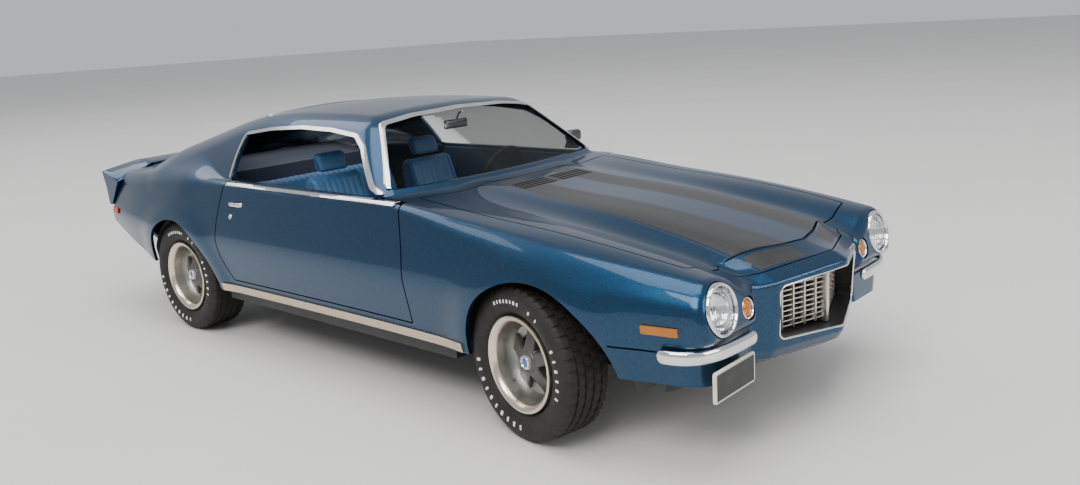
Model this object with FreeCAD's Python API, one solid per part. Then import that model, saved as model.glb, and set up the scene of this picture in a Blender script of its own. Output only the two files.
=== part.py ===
"""1:18 diecast model of a two-door coupe, built as separate pieces (millimetres, +X nose, +Z up)."""
import FreeCAD, Part
import math
import os

V = FreeCAD.Vector

# ---------------------------------------------------------------- driving dimensions
WHEELBASE = 153.2
FRONT_AXLE = 79.8
REAR_AXLE = FRONT_AXLE - WHEELBASE
TYRE_R = 18.2
HUB_Z = TYRE_R
TYRE_WIDTH = 13.0
STUB_R = 1.0
RUNNING_GAP = 0.05
TRACK_FRONT = 44.6
TRACK_REAR = 43.0
STEER_REST = -10.0

NOSE_TIP = 132.4
TAIL_TIP = -132.8
FACE_X = 123.6
REAR_X = -127.8
SILL_Z = 16.5
CREASE_Z = 34.0
WALL = 1.2
GAP = 0.4
CREST_Y = 39.0

ARCH_FRONT = (81.5, 16.0, 22.3)
ARCH_REAR = (-73.0, 17.0, 20.8)
HOUSING_FRONT = (80.0, 16.0, 26.0)
HOUSING_REAR = (-73.0, 17.0, 20.3)
HOUSING_WALL = 0.9
PLATE_TOP = 16.2
FLARE = 0.8
FLARE_WIDTH = 5.0

HEADLIGHT = (122.7, 39.0, 35.5)
HEADLIGHT_R = 5.78
PARKING = (123.0, 29.0, 33.3)
PARKING_R = 2.6
LAMP_LEAN = 11.0

KINGPIN_Y = 34.6
STEERING_ARM = 9.0
WHEEL_TILT = 22.0
STEERING_CENTRE = (9.6, 19.0, 47.6)
SCREW_PLACES = (92.0, -88.0)
SCREW_HOLE_R = 1.25


# ---------------------------------------------------------------- small maths
class Curve:
    """Natural cubic spline through a few (x, value) points, straight beyond its ends."""

    def __init__(self, *points):
        points = sorted(points)
        self.xs = [p[0] for p in points]
        self.ys = [p[1] for p in points]
        n = len(points)
        steps = [self.xs[i + 1] - self.xs[i] for i in range(n - 1)]
        slopes = [(self.ys[i + 1] - self.ys[i]) / steps[i] for i in range(n - 1)]
        diag = [1.0] * n
        rhs = [0.0] * n
        upper = [0.0] * n
        for i in range(1, n - 1):
            low = steps[i - 1]
            pivot = 2.0 * (steps[i - 1] + steps[i]) - low * upper[i - 1] / diag[i - 1]
            value = 6.0 * (slopes[i] - slopes[i - 1]) - low * rhs[i - 1] / diag[i - 1]
            diag[i] = pivot
            rhs[i] = value
            upper[i] = steps[i]
        self.bend = [0.0] * n
        for i in range(n - 2, 0, -1):
            self.bend[i] = (rhs[i] - upper[i] * self.bend[i + 1]) / diag[i]

    def __call__(self, x):
        xs = self.xs
        ys = self.ys
        last = len(xs) - 1
        if x <= xs[0]:
            i = 0
            reach = xs[0] - x
            x = xs[0]
            side = -1.0
        elif x >= xs[last]:
            i = last - 1
            reach = x - xs[last]
            x = xs[last]
            side = 1.0
        else:
            reach = 0.0
            side = 0.0
            i = 0
            while xs[i + 1] < x:
                i += 1
        h = xs[i + 1] - xs[i]
        a = (xs[i + 1] - x) / h
        b = 1.0 - a
        m0 = self.bend[i]
        m1 = self.bend[i + 1]
        value = a * ys[i] + b * ys[i + 1] + ((a ** 3 - a) * m0 + (b ** 3 - b) * m1) * h * h / 6.0
        if reach:
            slope = (ys[i + 1] - ys[i]) / h
            slope += ((1 - 3 * a * a) * m0 + (3 * b * b - 1) * m1) * h / 6.0
            value += side * reach * slope
        return value


def step(x, x0, x1):
    """Smooth 0 to 1 between x0 and x1."""
    t = min(max((x - x0) / (x1 - x0), 0.0), 1.0)
    return t * t * (3.0 - 2.0 * t)


def round_and(a, b, r):
    """Intersection of two distance fields with an edge radius."""
    return min(max(a, b), -r) + math.hypot(max(a + r, 0.0), max(b + r, 0.0))


def round_or(a, b, r):
    """Union of two distance fields with a fillet radius."""
    return max(min(a, b), r) - math.hypot(max(r - a, 0.0), max(r - b, 0.0))


# ---------------------------------------------------------------- body shape
plan_width = Curve((-129, 45.6), (-110, 49.0), (-90, 51.0), (-73, 51.7), (-50, 51.5), (-20, 51.0),
                   (10, 50.7), (40, 50.8), (65, 51.4), (85, 51.4), (105, 49.7), (118, 47.3), (125, 46.0))
crest_z = Curve((-129, 47.2), (-104, 49.6), (-74, 51.8), (-48, 51.6), (0, 51.2), (28, 51.6), (36, 51.2),
                (57, 49.1), (80, 47.3), (99, 45.2), (115, 42.8), (124, 41.3))
valley_depth = Curve((36, 0.1), (60, 0.8), (80, 1.5), (100, 2.3), (115, 2.9), (124, 4.4))
dome_height = Curve((36, 0.8), (60, 0.9), (85, 0.9), (115, 0.4), (124, 0.2))
deck_crown = Curve((-129, 3.6), (-107, 5.3), (-95, 5.3), (-80, 4.0))
roof_line = Curve((20, 71.4), (10, 71.9), (-12, 72.4), (-40, 71.5), (-57, 69.1), (-70, 65.9), (-84, 62.2),
                  (-95, 59.0), (-107, 55.0), (-120, 50.0))
cabin_base = Curve((30, 44.6), (0, 45.6), (-30, 45.4), (-48, 44.2), (-65, 42.8), (-84, 41.0), (-110, 38.5))


def arch_flare(x, z, arch):
    """Raised lip round a wheel opening."""
    away = math.hypot(x - arch[0], z - arch[1]) - arch[2]
    return FLARE * math.exp(-((away - 1.0) / FLARE_WIDTH) ** 2)


def side_y(x, z):
    """Half width of the lower body at a height."""
    lift = z - CREASE_Z
    slope = 0.29 if lift > 0 else 0.27
    inset = slope * (math.sqrt(lift * lift + 6.0) - math.sqrt(6.0))
    return plan_width(x) - inset + arch_flare(x, z, ARCH_FRONT) + arch_flare(x, z, ARCH_REAR)


def top_z(x, y):
    """Height of fenders, hood and rear deck."""
    u = abs(y)
    z = crest_z(x)
    if u > CREST_Y:
        z -= (0.006 + 0.022 * step(x, 40, 110)) * (u - CREST_Y) ** 2
    if x > 20:
        fade = step(x, 20, 40)
        valley = math.exp(-((u - 26.3) / 6.5) ** 2)
        dome = 1.0 / (1.0 + math.exp((u - 20.0) / 1.6))
        z += fade * (dome * dome_height(x) - valley * valley_depth(x))
    if x < -70:
        z += step(-x, 70, 90) * deck_crown(x) * (1.0 - (min(u, 46.0) / 46.0) ** 2)
    return z


def crest_radius(x):
    """Edge radius where side and top meet."""
    return 1.6 + 2.6 * step(x, 25, 70) + 1.8 * step(-x, 50, 80)


def face_x(z):
    """Front face of the fenders: leans back at the lamps, tucks in behind the bumper."""
    lean = math.tan(math.radians(LAMP_LEAN))
    return FACE_X - (z - HEADLIGHT[2]) * lean - 3.0 * step(31.0 - z, 0.0, 4.0) - 0.15 * max(0.0, 27.0 - z)


def lower_field(x, y, z):
    edge = round_and(abs(y) - side_y(x, z), z - top_z(x, y), crest_radius(x))
    edge = round_and(edge, x - face_x(z), 2.2 + 3.5 * step(31.0 - z, 0.0, 4.0))
    return round_and(edge, REAR_X - x, 2.2)


def windshield_z(x, y):
    """Height of the windshield surface."""
    return 52.0 + (33.6 - 0.0034 * y * y - x) / 1.17


def cabin_side(x, z):
    """Half width of the cabin at a height."""
    lift = max(z - 51.5, -6.0)
    return cabin_base(x) - 0.52 * lift - 0.014 * lift * abs(lift)


def cabin_field(x, y, z):
    slope = 0.76
    roof = z - (roof_line(x) - 1.7 * (y / 30.0) ** 2)
    top = round_and(roof, (z - windshield_z(x, y)) * slope, 2.5)
    cabin = round_and((abs(y) - cabin_side(x, z)) * 0.85, top, 3.0 + 2.0 * step(-x, 40, 70))
    return max(cabin, 48.0 - z)


def body_field(x, y, z):
    blend = 0.3 + 6.5 * step(-x, 46, 72) * (1.0 - step(-x, 88, 112))
    return round_or(lower_field(x, y, z), cabin_field(x, y, z), blend)


# ---------------------------------------------------------------- surfaces from sections
def spline_poles(points):
    """Poles of the natural cubic spline through evenly numbered points."""
    n = len(points)
    bend = [V(0, 0, 0)] * n
    work = [0.0] * n
    rhs = [V(0, 0, 0)] * n
    for i in range(1, n - 1):
        pivot = 4.0 - work[i - 1]
        work[i] = 1.0 / pivot
        rhs[i] = ((points[i + 1] - points[i] * 2.0 + points[i - 1]) * 6.0 - rhs[i - 1]) * work[i]
    for i in range(n - 2, 0, -1):
        bend[i] = rhs[i] - bend[i + 1] * work[i]
    start = (points[1] - points[0]) - (bend[0] * 2.0 + bend[1]) * (1.0 / 6.0)
    end = (points[-1] - points[-2]) + (bend[-2] + bend[-1] * 2.0) * (1.0 / 6.0)
    poles = [points[0], points[0] + start * (1.0 / 3.0)]
    poles += [points[i] - bend[i] * (1.0 / 6.0) for i in range(1, n - 1)]
    poles += [points[-1] - end * (1.0 / 3.0), points[-1]]
    return poles


def spline_face(grid):
    """Smooth face through a grid of points."""
    rows = [spline_poles(row) for row in grid]
    columns = [spline_poles([row[j] for row in rows]) for j in range(len(rows[0]))]
    poles = [[columns[j][i] for j in range(len(columns))] for i in range(len(columns[0]))]

    def knots(count):
        inner = count - 2
        return [float(k) for k in range(inner)], [4] + [1] * (inner - 2) + [4]

    u_knots, u_mults = knots(len(poles))
    v_knots, v_mults = knots(len(poles[0]))
    surface = Part.BSplineSurface()
    surface.buildFromPolesMultsKnots(poles, u_mults, v_mults, u_knots, v_knots, False, False, 3, 3)
    return surface.toShape()


def ring(field, x, bottom, hub_z=28.0, rays=40):
    """Half section of a field at x, from the bottom edge over the side to the centre line (y <= 0)."""
    half = cast(field, x, 0.0, bottom, -1.0, 0.0)
    first = math.atan2(bottom - hub_z, half)
    points = []
    for k in range(rays + 1):
        t = k / rays
        angle = first + (math.pi / 2 - first) * (t ** 1.12)
        reach = cast(field, x, 0.0, hub_z, -math.cos(angle), math.sin(angle))
        points.append(V(x, -reach * math.cos(angle), hub_z + reach * math.sin(angle)))
    points[-1] = V(x, 0.0, points[-1].z)
    return points


def cast(field, x, y, z, dy, dz):
    """Distance from a point inside the section to the field's surface."""
    near = 0.0
    far = 70.0
    for _ in range(26):
        mid = 0.5 * (near + far)
        if field(x, y + dy * mid, z + dz * mid) > 0.0:
            far = mid
        else:
            near = mid
    return near


def stations(first, last):
    """Section places, closer together at both ends."""
    places = []
    count = 74
    for k in range(count + 1):
        t = k / count
        eased = t - 0.055 * math.sin(2 * math.pi * t) * 1.35
        places.append(first + (last - first) * eased)
    return places


def skin_solid(field, first, last, bottom):
    """Closed solid of the car's outer form, cut flat at the bottom."""
    right = [ring(field, x, bottom) for x in stations(first, last)]
    left = [[V(p.x, -p.y, p.z) for p in row] for row in right]
    faces = [spline_face(right), spline_face(left)]
    faces.append(spline_face([[row[0], (row[0] + mate[0]) * 0.5, mate[0]] for row, mate in zip(right, left)]))
    caps = []
    for wire_edges in open_ends(faces, (first, last)):
        caps.append(Part.Face(Part.Wire(Part.sortEdges(wire_edges)[0])))
    shell = Part.Shell(faces + caps)
    shell.sewShape()
    solid = Part.Solid(Part.Shell(shell.Faces))
    if solid.Volume < 0:
        solid.reverse()
    return solid


def open_ends(faces, places):
    """Edges of the faces that lie in each end plane."""
    groups = []
    for place in places:
        found = []
        for face in faces:
            for edge in face.Edges:
                box = edge.BoundBox
                if abs(box.XMin - place) < 1e-4 and abs(box.XMax - place) < 1e-4:
                    found.append(edge)
        groups.append(found)
    return groups


# ---------------------------------------------------------------- plain shapes
def box(x0, x1, y0, y1, z0, z1):
    return Part.makeBox(x1 - x0, y1 - y0, z1 - z0, V(x0, y0, z0))


def rod(start, end, r):
    """Round bar between two points."""
    axis = V(*end) - V(*start)
    return Part.makeCylinder(r, axis.Length, V(*start), axis)


def prism(points, plane, low, high):
    """Polygon in the xy, xz or yz plane, extruded along the third axis."""
    place = {"xy": lambda p: V(p[0], p[1], low),
             "xz": lambda p: V(p[0], low, p[1]),
             "yz": lambda p: V(low, p[0], p[1])}
    travel = {"xy": V(0, 0, high - low), "xz": V(0, high - low, 0), "yz": V(high - low, 0, 0)}
    corners = [place[plane](p) for p in points]
    return Part.Face(Part.makePolygon(corners + [corners[0]])).extrude(travel[plane])


def mirrored(points):
    """A half outline in y, joined to its mirror image."""
    return points + [(p[0], -p[1]) for p in reversed(points) if abs(p[1]) > 1e-9]


def flip(shape):
    """The same piece on the other side of the car."""
    return shape.mirror(V(0, 0, 0), V(0, 1, 0))


def soften(shape, radius):
    """Round every edge, or leave the piece as it is when an edge is too short."""
    try:
        smooth = shape.makeFillet(radius, shape.Edges)
        return smooth if smooth.isValid() else shape
    except Part.OCCError:
        return shape


def merge(*shapes):
    whole = shapes[0].fuse(list(shapes[1:]))
    return whole.removeSplitter()


def save(name, *shapes):
    solids = [solid for shape in shapes for solid in shape.Solids]
    for solid in solids:
        if not solid.isValid() or solid.Volume <= 0:
            print("check", name, solid.isValid(), round(solid.Volume, 3))
    Part.Compound(solids).exportStep("parts/" + name + ".step")


# ---------------------------------------------------------------- outlines
DOOR_FRONT = [(35.0, 53.0), (36.6, 48.0), (38.2, 43.0), (39.8, 36.0), (39.9, 30.0), (39.2, 21.0)]
DOOR_REAR = [(-43.0, 21.0), (-45.8, 27.0), (-46.6, 34.0), (-46.4, 42.0), (-44.6, 53.0)]
SIDE_WINDOW = [(25.8, 51.9), (21.9, 53.6), (11.9, 62.9), (6.9, 65.6), (-5.0, 66.7), (-19.4, 67.0),
               (-34.9, 66.1), (-48.0, 64.4), (-47.4, 61.0), (-45.2, 51.9)]
HOOD_SIDE = [(38.8, 0.0), (38.2, -14.0), (36.8, -28.0), (35.0, -39.0), (60.0, -39.0), (90.0, -39.0),
             (106.0, -38.6), (114.6, -37.8), (115.4, -30.0), (114.6, -22.7), (117.6, -16.0),
             (120.4, -8.0), (121.9, 0.0)]
TRUNK_SIDE = [(-103.4, 0.0), (-103.4, -30.5), (-115.0, -32.2), (-126.0, -32.2), (-126.0, 0.0)]
WINDSHIELD_OUTLINE = [(-41.4, 53.0), (-29.4, 68.3), (-18.0, 69.6), (0.0, 70.2), (18.0, 69.6), (29.4, 68.3),
                      (41.4, 53.0)]
TAIL_CUT = [(-92.5, 5.0), (-92.5, 20.5), (-99.0, 22.6), (-107.0, 25.2), (-115.0, 28.0), (-122.0, 30.6),
            (-140.0, 35.5), (-140.0, 5.0)]
DOOR_INNER_Y = 43.6
HINGE_CLEAR_Y = 45.6
NOSE_HALF = 25.4


def shrink(points, gap):
    """Outline moved inwards by a gap, for a polygon that winds either way."""
    wire = Part.makePolygon([V(p[0], p[1], 0) for p in points + [points[0]]])
    moved = wire.makeOffset2D(-gap, join=2)
    if (moved.BoundBox.XLength < wire.BoundBox.XLength) != (gap > 0):
        moved = wire.makeOffset2D(gap, join=2)
    return [(v.Point.x, v.Point.y) for v in moved.OrderedVertexes]


def door_block(grow):
    """Space of the right door, grown or shrunk by a gap."""
    outline = shrink(DOOR_FRONT + DOOR_REAR, -grow) if grow else DOOR_FRONT + DOOR_REAR
    outline = [(x, min(z, 51.75)) for x, z in outline]
    deep = prism(outline, "xz", -60.0, -DOOR_INNER_Y).common(box(-60, 24.5 + grow, -60, -40, 10, 60))
    shallow = prism(outline, "xz", -60.0, -HINGE_CLEAR_Y).common(box(24.0, 50, -60, -40, 10, 60))
    return merge(deep, shallow)


# ---------------------------------------------------------------- body and panels
def make_body():
    """Body shell with its openings, and the panels cut from the same skin."""
    outer = skin_solid(body_field, -127.2, 121.8, SILL_Z)
    inner = skin_solid(lambda x, y, z: body_field(x, y, z) + WALL, -126.2, 120.2, SILL_Z - 3.0)
    shell = outer.cut(inner)

    hood_line = mirrored(HOOD_SIDE)
    trunk_line = mirrored(TRUNK_SIDE)
    hood = shell.common(prism(shrink(hood_line, GAP / 2), "xy", 37.0, 60.0))
    trunk = shell.common(prism(shrink(trunk_line, GAP / 2), "xy", 45.0, 60.0))
    door = outer.common(door_block(-GAP / 2))

    body = shell
    for arch in (ARCH_FRONT, ARCH_REAR):
        tunnel = Part.makeCylinder(arch[2], 130, V(arch[0], -65, arch[1]), V(0, 1, 0))
        body = body.cut(tunnel)
        door = door.cut(tunnel)
    window = prism(SIDE_WINDOW, "xz", -60.0, -25.0)
    door_hole = merge(door_block(GAP / 2), box(-43.0, 24.5, -60, -36, 21.0, 51.8))
    cuts = [window, flip(window), door_hole, flip(door_hole)]
    cuts.append(windshield_hole())
    cuts.append(prism(mirrored([(-49.0, 0.0), (-50.5, -26.5), (-86.0, -24.0),
                                (-88.0, 0.0)]), "xy", 53.0, 80.0))
    cuts.append(prism(shrink(hood_line, -GAP / 2), "xy", 37.0, 60.0))
    cuts.append(prism(shrink(trunk_line, -GAP / 2), "xy", 45.0, 60.0))
    cuts.append(prism(TAIL_CUT, "xz", -60.0, 60.0))
    cuts.append(nose_space())
    cuts.append(valance_space())
    cuts.append(flip(valance_space()))
    for cut in cuts:
        body = body.cut(cut)
    for y in (-HEADLIGHT[1], HEADLIGHT[1]):
        body = body.cut(lamp_rod(HEADLIGHT, y, HEADLIGHT_R, -8.0, 6.0))
    for y in (-PARKING[1], PARKING[1]):
        body = body.cut(lamp_rod(PARKING, y, PARKING_R, -8.0, 6.0))
    return outer, shell, body, hood, trunk, door


def windshield_hole():
    return prism(WINDSHIELD_OUTLINE, "yz", 2.0, 50.0)


def nose_space():
    """Everything ahead of the hood seam between the fender noses."""
    return box(112.0, 140.0, -NOSE_HALF, NOSE_HALF, 10.0, 60.0)


def valance_space():
    return box(102.4, 140.0, -60.0, -NOSE_HALF, 10.0, 27.4)


def lamp_rod(lamp, y, r, low, high):
    """Cylinder along a lamp's leaning axis, from low to high."""
    lean = math.radians(LAMP_LEAN)
    axis = V(math.cos(lean), 0, math.sin(lean))
    start = V(lamp[0], y, lamp[2]) + axis * low
    return Part.makeCylinder(r, high - low, start, axis)


# ---------------------------------------------------------------- nose, lamps and bumpers
def seam_x(y):
    """Rear edge of the nose panel, following the hood."""
    u = abs(y)
    return (121.9 - 0.19 * u if u < 8 else 120.4 - 0.37 * (u - 8.0)) - 0.10 * max(0.0, u - 17.0) + GAP


def nose_front(y):
    """Plan line of the grille surround: a shallow V with softened corners."""
    u = abs(y)
    return NOSE_TIP - 0.342 * u - 0.30 * max(0.0, u - 19.6)


def nose_profile(y, shrink_by=0.0):
    front = nose_front(y) - shrink_by
    top = 38.4 - 0.08 * abs(y) - shrink_by
    back = seam_x(y)
    hood = top_z(back, y) - shrink_by
    points = [(back, hood), (front - 3.4, top + 1.7), (front - 0.7, top + 0.35), (front, top - 0.7),
              (front - 0.3, 30.0), (front - 1.0, 21.6), (front - 2.2, 19.6), (front - 4.8, 18.2),
              (112.6, 18.2), (112.6, 38.0)]
    return Part.makePolygon([V(x, y, z) for x, z in points + [points[0]]])


def make_nose(hood_gap):
    """Nose panel with the grille opening, behind a seam at the hood's front edge."""
    places = [-25.2, -22.5, -19.6, -10.0, -3.0, 0.0, 3.0, 10.0, 19.6, 22.5, 25.2]
    block = Part.makeLoft([nose_profile(y) for y in places], True, True)
    opening = [(0.0, 36.9), (-18.0, 35.6), (-18.9, 34.6), (-18.4, 24.6), (-17.4, 23.7), (0.0, 22.9)]
    opening = opening + [(-y, z) for y, z in reversed(opening[1:-1])]
    cavity = prism(opening, "yz", 114.5, 140.0)
    return block.cut(cavity).cut(hood_gap), cavity


def v_plate(depth, thickness, half, z0, z1):
    """Upright plate that follows the V of the nose."""
    tip = NOSE_TIP - depth
    side = tip - 0.342 * half
    line = [(tip, 0.0), (side, -half), (side - thickness, -half), (tip - thickness, 0.0),
            (side - thickness, half), (side, half)]
    return prism(line, "xy", z0, z1)


def make_grille():
    """Egg-crate bars behind the opening, with a centre post."""
    depth = 6.2
    back = v_plate(depth + 2.2, 0.6, 17.2, 24.8, 34.6)
    bars = [v_plate(depth, 2.4, 17.2, z, z + 0.35) for z in [24.6 + 1.12 * k for k in range(10)]]
    posts = []
    for k in range(-5, 6):
        y = 3.3 * k
        x = NOSE_TIP - depth - 0.342 * abs(y)
        posts.append(box(x - 2.4, x, y - 0.2, y + 0.2, 24.6, 34.9))
    centre = box(NOSE_TIP - depth - 2.6, NOSE_TIP - 2.0, -0.55, 0.55, 24.0, 35.6)
    return merge(back, centre, *(bars + posts))


def make_surround(nose):
    """Thin bright moulding round the grille opening."""
    ring = v_plate(-0.4, 1.6, 19.0, 22.9, 36.8).cut(v_plate(-2.0, 6.0, 17.9, 24.1, 35.5))
    return ring.cut(nose)


def make_lamps():
    bezels = []
    lenses = []
    for y in (-HEADLIGHT[1], HEADLIGHT[1]):
        bezels.append(lamp_rod(HEADLIGHT, y, HEADLIGHT_R - 0.06, -4.0, 1.4).cut(
            lamp_rod(HEADLIGHT, y, HEADLIGHT_R - 0.9, -5.0, 3.0)))
        lens = lamp_rod(HEADLIGHT, y, HEADLIGHT_R - 0.95, -3.6, 0.6)
        lenses.append(soften(lens, 0.4))
    parking = []
    for y in (-PARKING[1], PARKING[1]):
        bezels.append(lamp_rod(PARKING, y, PARKING_R - 0.05, -3.0, 0.6).cut(
            lamp_rod(PARKING, y, PARKING_R - 0.6, -4.0, 3.0)))
        parking.append(lamp_rod(PARKING, y, PARKING_R - 0.65, -2.6, 0.4))
    return bezels, lenses, parking


def make_bumperette():
    outline = [(113.4, -48.9), (118.2, -48.2), (121.8, -46.0), (123.9, -42.4), (124.9, -37.0),
               (125.3, -26.6), (123.3, -26.6), (123.0, -36.6), (122.0, -41.6), (120.2, -44.7),
               (117.7, -46.4), (113.4, -47.0)]
    return soften(prism(outline, "xy", 25.5, 28.5), 0.5)


def make_plate():
    return box(124.0, 124.8, -44.0, -28.0, 17.4, 24.0)


def make_tail(outer):
    """Rear panel, round lamps, bumper and spoiler end caps."""
    panel = box(-128.6, -127.25, -41.0, 41.0, 30.8, 45.5)
    lamps = []
    for y in (-34.0, -23.0, 23.0, 34.0):
        hole = rod((-130.5, y, 39.5), (-127.0, y, 39.5), 4.0)
        panel = panel.cut(hole)
        lamps.append(soften(rod((-129.4, y, 39.5), (-127.3, y, 39.5), 3.9), 0.3))
    bar = [(TAIL_TIP, -28.0), (-132.2, -36.0), (-130.8, -41.0), (-128.7, -42.6), (-128.7, -41.2),
           (-130.0, -35.5), (-130.6, -28.0)]
    bumper = prism(mirrored(bar), "xy", 29.5, 34.0).cut(outer)
    for y in (-20.0, 16.0):
        bumper = merge(bumper, box(-130.7, -128.65, y, y + 4.0, 31.2, 33.4))
    inner_end = [(-119.0, 51.4), (-125.5, 52.1), (-131.3, 51.9), (-130.8, 50.4), (-128.9, 44.0), (-128.0, 38.0),
                 (-126.2, 38.0)]
    outer_end = [(-119.5, 46.2), (-125.5, 48.4), (-131.0, 49.5), (-130.3, 47.8), (-128.9, 43.5), (-128.0, 37.5),
                 (-126.2, 37.5)]
    wires = [Part.makePolygon([V(x, y, z) for x, z in line + line[:1]])
             for line, y in ((inner_end, -32.4), (outer_end, -46.2))]
    cap = Part.makeLoft(wires, True, True)
    cap = cap.cut(outer).cut(box(-135.0, -120.0, -41.2, 0.0, 20.0, 45.7))
    cap = max(cap.Solids, key=lambda solid: solid.Volume)
    return panel, lamps, bumper, cap


def make_spoiler():
    """Raised lip on the trunk lid."""
    profile = [(-119.0, 52.6), (-125.5, 52.2), (-131.4, 52.0), (-131.0, 50.6), (-128.2, 48.8),
               (-126.4, 48.8), (-126.4, 49.6)]
    return prism(profile, "xz", -32.0, 32.0)


# ---------------------------------------------------------------- trim that lies on the skin
def frame_outline(outline, plane, width, low, high):
    """Strip of one width round an opening, on its outside."""
    grown = prism(shrink(outline, -width), plane, low, high)
    return grown.cut(prism(outline, plane, low, high))


def make_side_trim(band):
    """Bright moulding over the side window, from the pillar foot to the rear corner."""
    strip = frame_outline(SIDE_WINDOW, "xz", 0.95, -60.0, -25.0).common(box(-60, 60, -60, -25, 52.4, 75))
    return band.common(strip)


def make_windshield_trim(band):
    strip = frame_outline(WINDSHIELD_OUTLINE, "yz", 1.0, 2.0, 50.0)
    return band.common(strip).common(box(0, 60, -60, 60, 53.6, 80))


def make_door_trim(band):
    """Belt moulding, handle and lock of the right door."""
    belt = band.common(box(-44.0, 33.8, -60.0, -44.5, 50.4, 51.4))
    handle = band.common(box(-40.2, -34.4, -60.0, -44.0, 44.6, 46.1))
    lock = band.common(rod((-39.0, -60.0, 41.6), (-39.0, -44.0, 41.6), 0.8))
    return [belt, handle, lock]


def make_door_card():
    """Inner door panel with its armrest."""
    outline = [(-42.0, 22.0), (19.0, 22.0), (19.0, 50.4), (-42.6, 50.4), (-44.4, 40.0), (-44.4, 30.0)]
    card = prism(outline, "xz", -43.55, -42.5)
    rest = soften(box(-26.0, 4.0, -42.6, -40.2, 35.0, 37.6), 0.6)
    return merge(card, rest)


def make_mirror():
    """Door mirror on its stalk."""
    head = soften(box(12.6, 16.2, 46.6, 52.3, 53.6, 57.6), 1.2)
    stalk = prism([(12.4, 51.6), (17.4, 51.6), (15.6, 54.4), (13.6, 54.4)], "xz", 46.9, 49.2)
    return merge(head, stalk)


# ---------------------------------------------------------------- chassis and running gear
def make_housing(centre, inner_y, side):
    """Wheel housing: half a drum, closed towards the middle of the car."""
    x, z, r = centre
    drum = rod((x, side * (inner_y - 1.0), z), (x, side * 48.4, z), r + HOUSING_WALL)
    return drum.cut(rod((x, side * inner_y, z), (x, side * 50.0, z), r))


def make_chassis(room, *fitted):
    """Floor plate with wheel housings, cut back from the parts fitted to it."""
    half = [(112.0, 0.0), (112.0, -24.0), (107.4, -36.0), (107.4, -28.8), (52.6, -28.8), (52.6, -46.0),
            (-50.6, -46.0), (-50.6, -30.6), (-98.5, -30.6), (-98.5, 0.0)]
    plate = prism(mirrored(half), "xy", 13.6, PLATE_TOP)
    for x in SCREW_PLACES:
        plate = plate.cut(rod((x, 0, 10), (x, 0, 20), SCREW_HOLE_R))
    kick_up = [(-98.5, 13.6), (-98.5, PLATE_TOP), (-101.0, 24.9), (-107.0, 27.2), (-115.0, 30.0), (-122.0, 32.4),
               (-125.4, 33.4), (-125.4, 32.1), (-122.0, 31.1), (-115.0, 28.6), (-107.0, 25.8), (-102.2, 23.8),
               (-100.0, 13.6)]
    pieces = [plate, prism(kick_up, "xz", -40.5, 40.5).common(room)]
    above = box(-200, 200, -60, 60, PLATE_TOP, 60)
    rod_slot = box(67.2, 74.6, -31.0, 31.0, PLATE_TOP, 19.4)
    for centre, inner_y in ((HOUSING_FRONT, 28.8), (HOUSING_REAR, 30.6)):
        for side in (-1, 1):
            housing = make_housing(centre, inner_y, side)
            pieces.append(housing.common(above).common(room).cut(rod_slot))
    for part in fitted:
        pieces = [piece.cut(part) for piece in pieces]
    return pieces


def wheel_profile(points, y, x, out):
    """Turn a (distance outwards, radius) outline about a wheel axis."""
    corners = [V(x, out * (y + s), HUB_Z + r) for s, r in points]
    face = Part.Face(Part.makePolygon(corners + [corners[0]]))
    return face.revolve(V(x, 0, HUB_Z), V(0, 1, 0), 360)


def make_tyre(x, y, out):
    half = TYRE_WIDTH / 2
    outline = [(-half + 2.0, 11.45), (-half + 0.6, 12.6), (-half, 14.6), (-half + 0.15, 16.2),
               (-half + 0.9, 17.6), (-half + 2.0, TYRE_R), (half - 2.0, TYRE_R), (half - 0.9, 17.6),
               (half - 0.15, 16.2), (half, 14.6), (half - 0.6, 12.6), (half - 2.0, 11.45)]
    return wheel_profile(outline, y, x, out)


def make_rim(x, y, out):
    bore = STUB_R + RUNNING_GAP
    outline = [(-4.3, 11.35), (-4.3, 10.3), (1.2, 10.0), (1.6, 8.4), (0.8, 3.2), (-3.0, 3.0),
               (-3.0, bore), (3.4, bore), (3.4, 0.0), (4.4, 0.0), (4.0, 2.6), (2.2, 3.4), (3.0, 8.6),
               (3.6, 9.8), (5.6, 10.6), (5.9, 11.2), (5.6, 11.35)]
    rim = wheel_profile(outline, y, x, out)
    for k in range(5):
        angle = math.radians(72 * k + 36)
        cx = x + 6.6 * math.sin(angle)
        cz = HUB_Z + 6.6 * math.cos(angle)
        rim = rim.cut(rod((cx, out * (y - 4.0), cz), (cx, out * (y + 8.0), cz), 1.9))
    return rim


def steered(shape, side):
    """Turn a front wheel part to the steered rest pose about its kingpin."""
    turned = shape.copy()
    turned.rotate(V(FRONT_AXLE, side * KINGPIN_Y, 0), V(0, 0, 1), STEER_REST)
    return turned


def make_knuckle(side):
    y = side * KINGPIN_Y
    post = rod((FRONT_AXLE, y, 14.9), (FRONT_AXLE, y, 21.5), 2.0)
    stub = rod((FRONT_AXLE, y, HUB_Z), (FRONT_AXLE, side * (TRACK_FRONT + 3.2), HUB_Z), STUB_R)
    arm = box(FRONT_AXLE - STEERING_ARM - 1.0, FRONT_AXLE, y - 0.9, y + 0.9, 14.9, 16.3)
    pin = rod((FRONT_AXLE - STEERING_ARM, y, 15.0), (FRONT_AXLE - STEERING_ARM, y, 19.0), 0.6)
    knuckle = merge(post, stub, arm, pin)
    return knuckle.cut(rod((FRONT_AXLE, y, 10), (FRONT_AXLE, y, 30), STUB_R + RUNNING_GAP))


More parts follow.
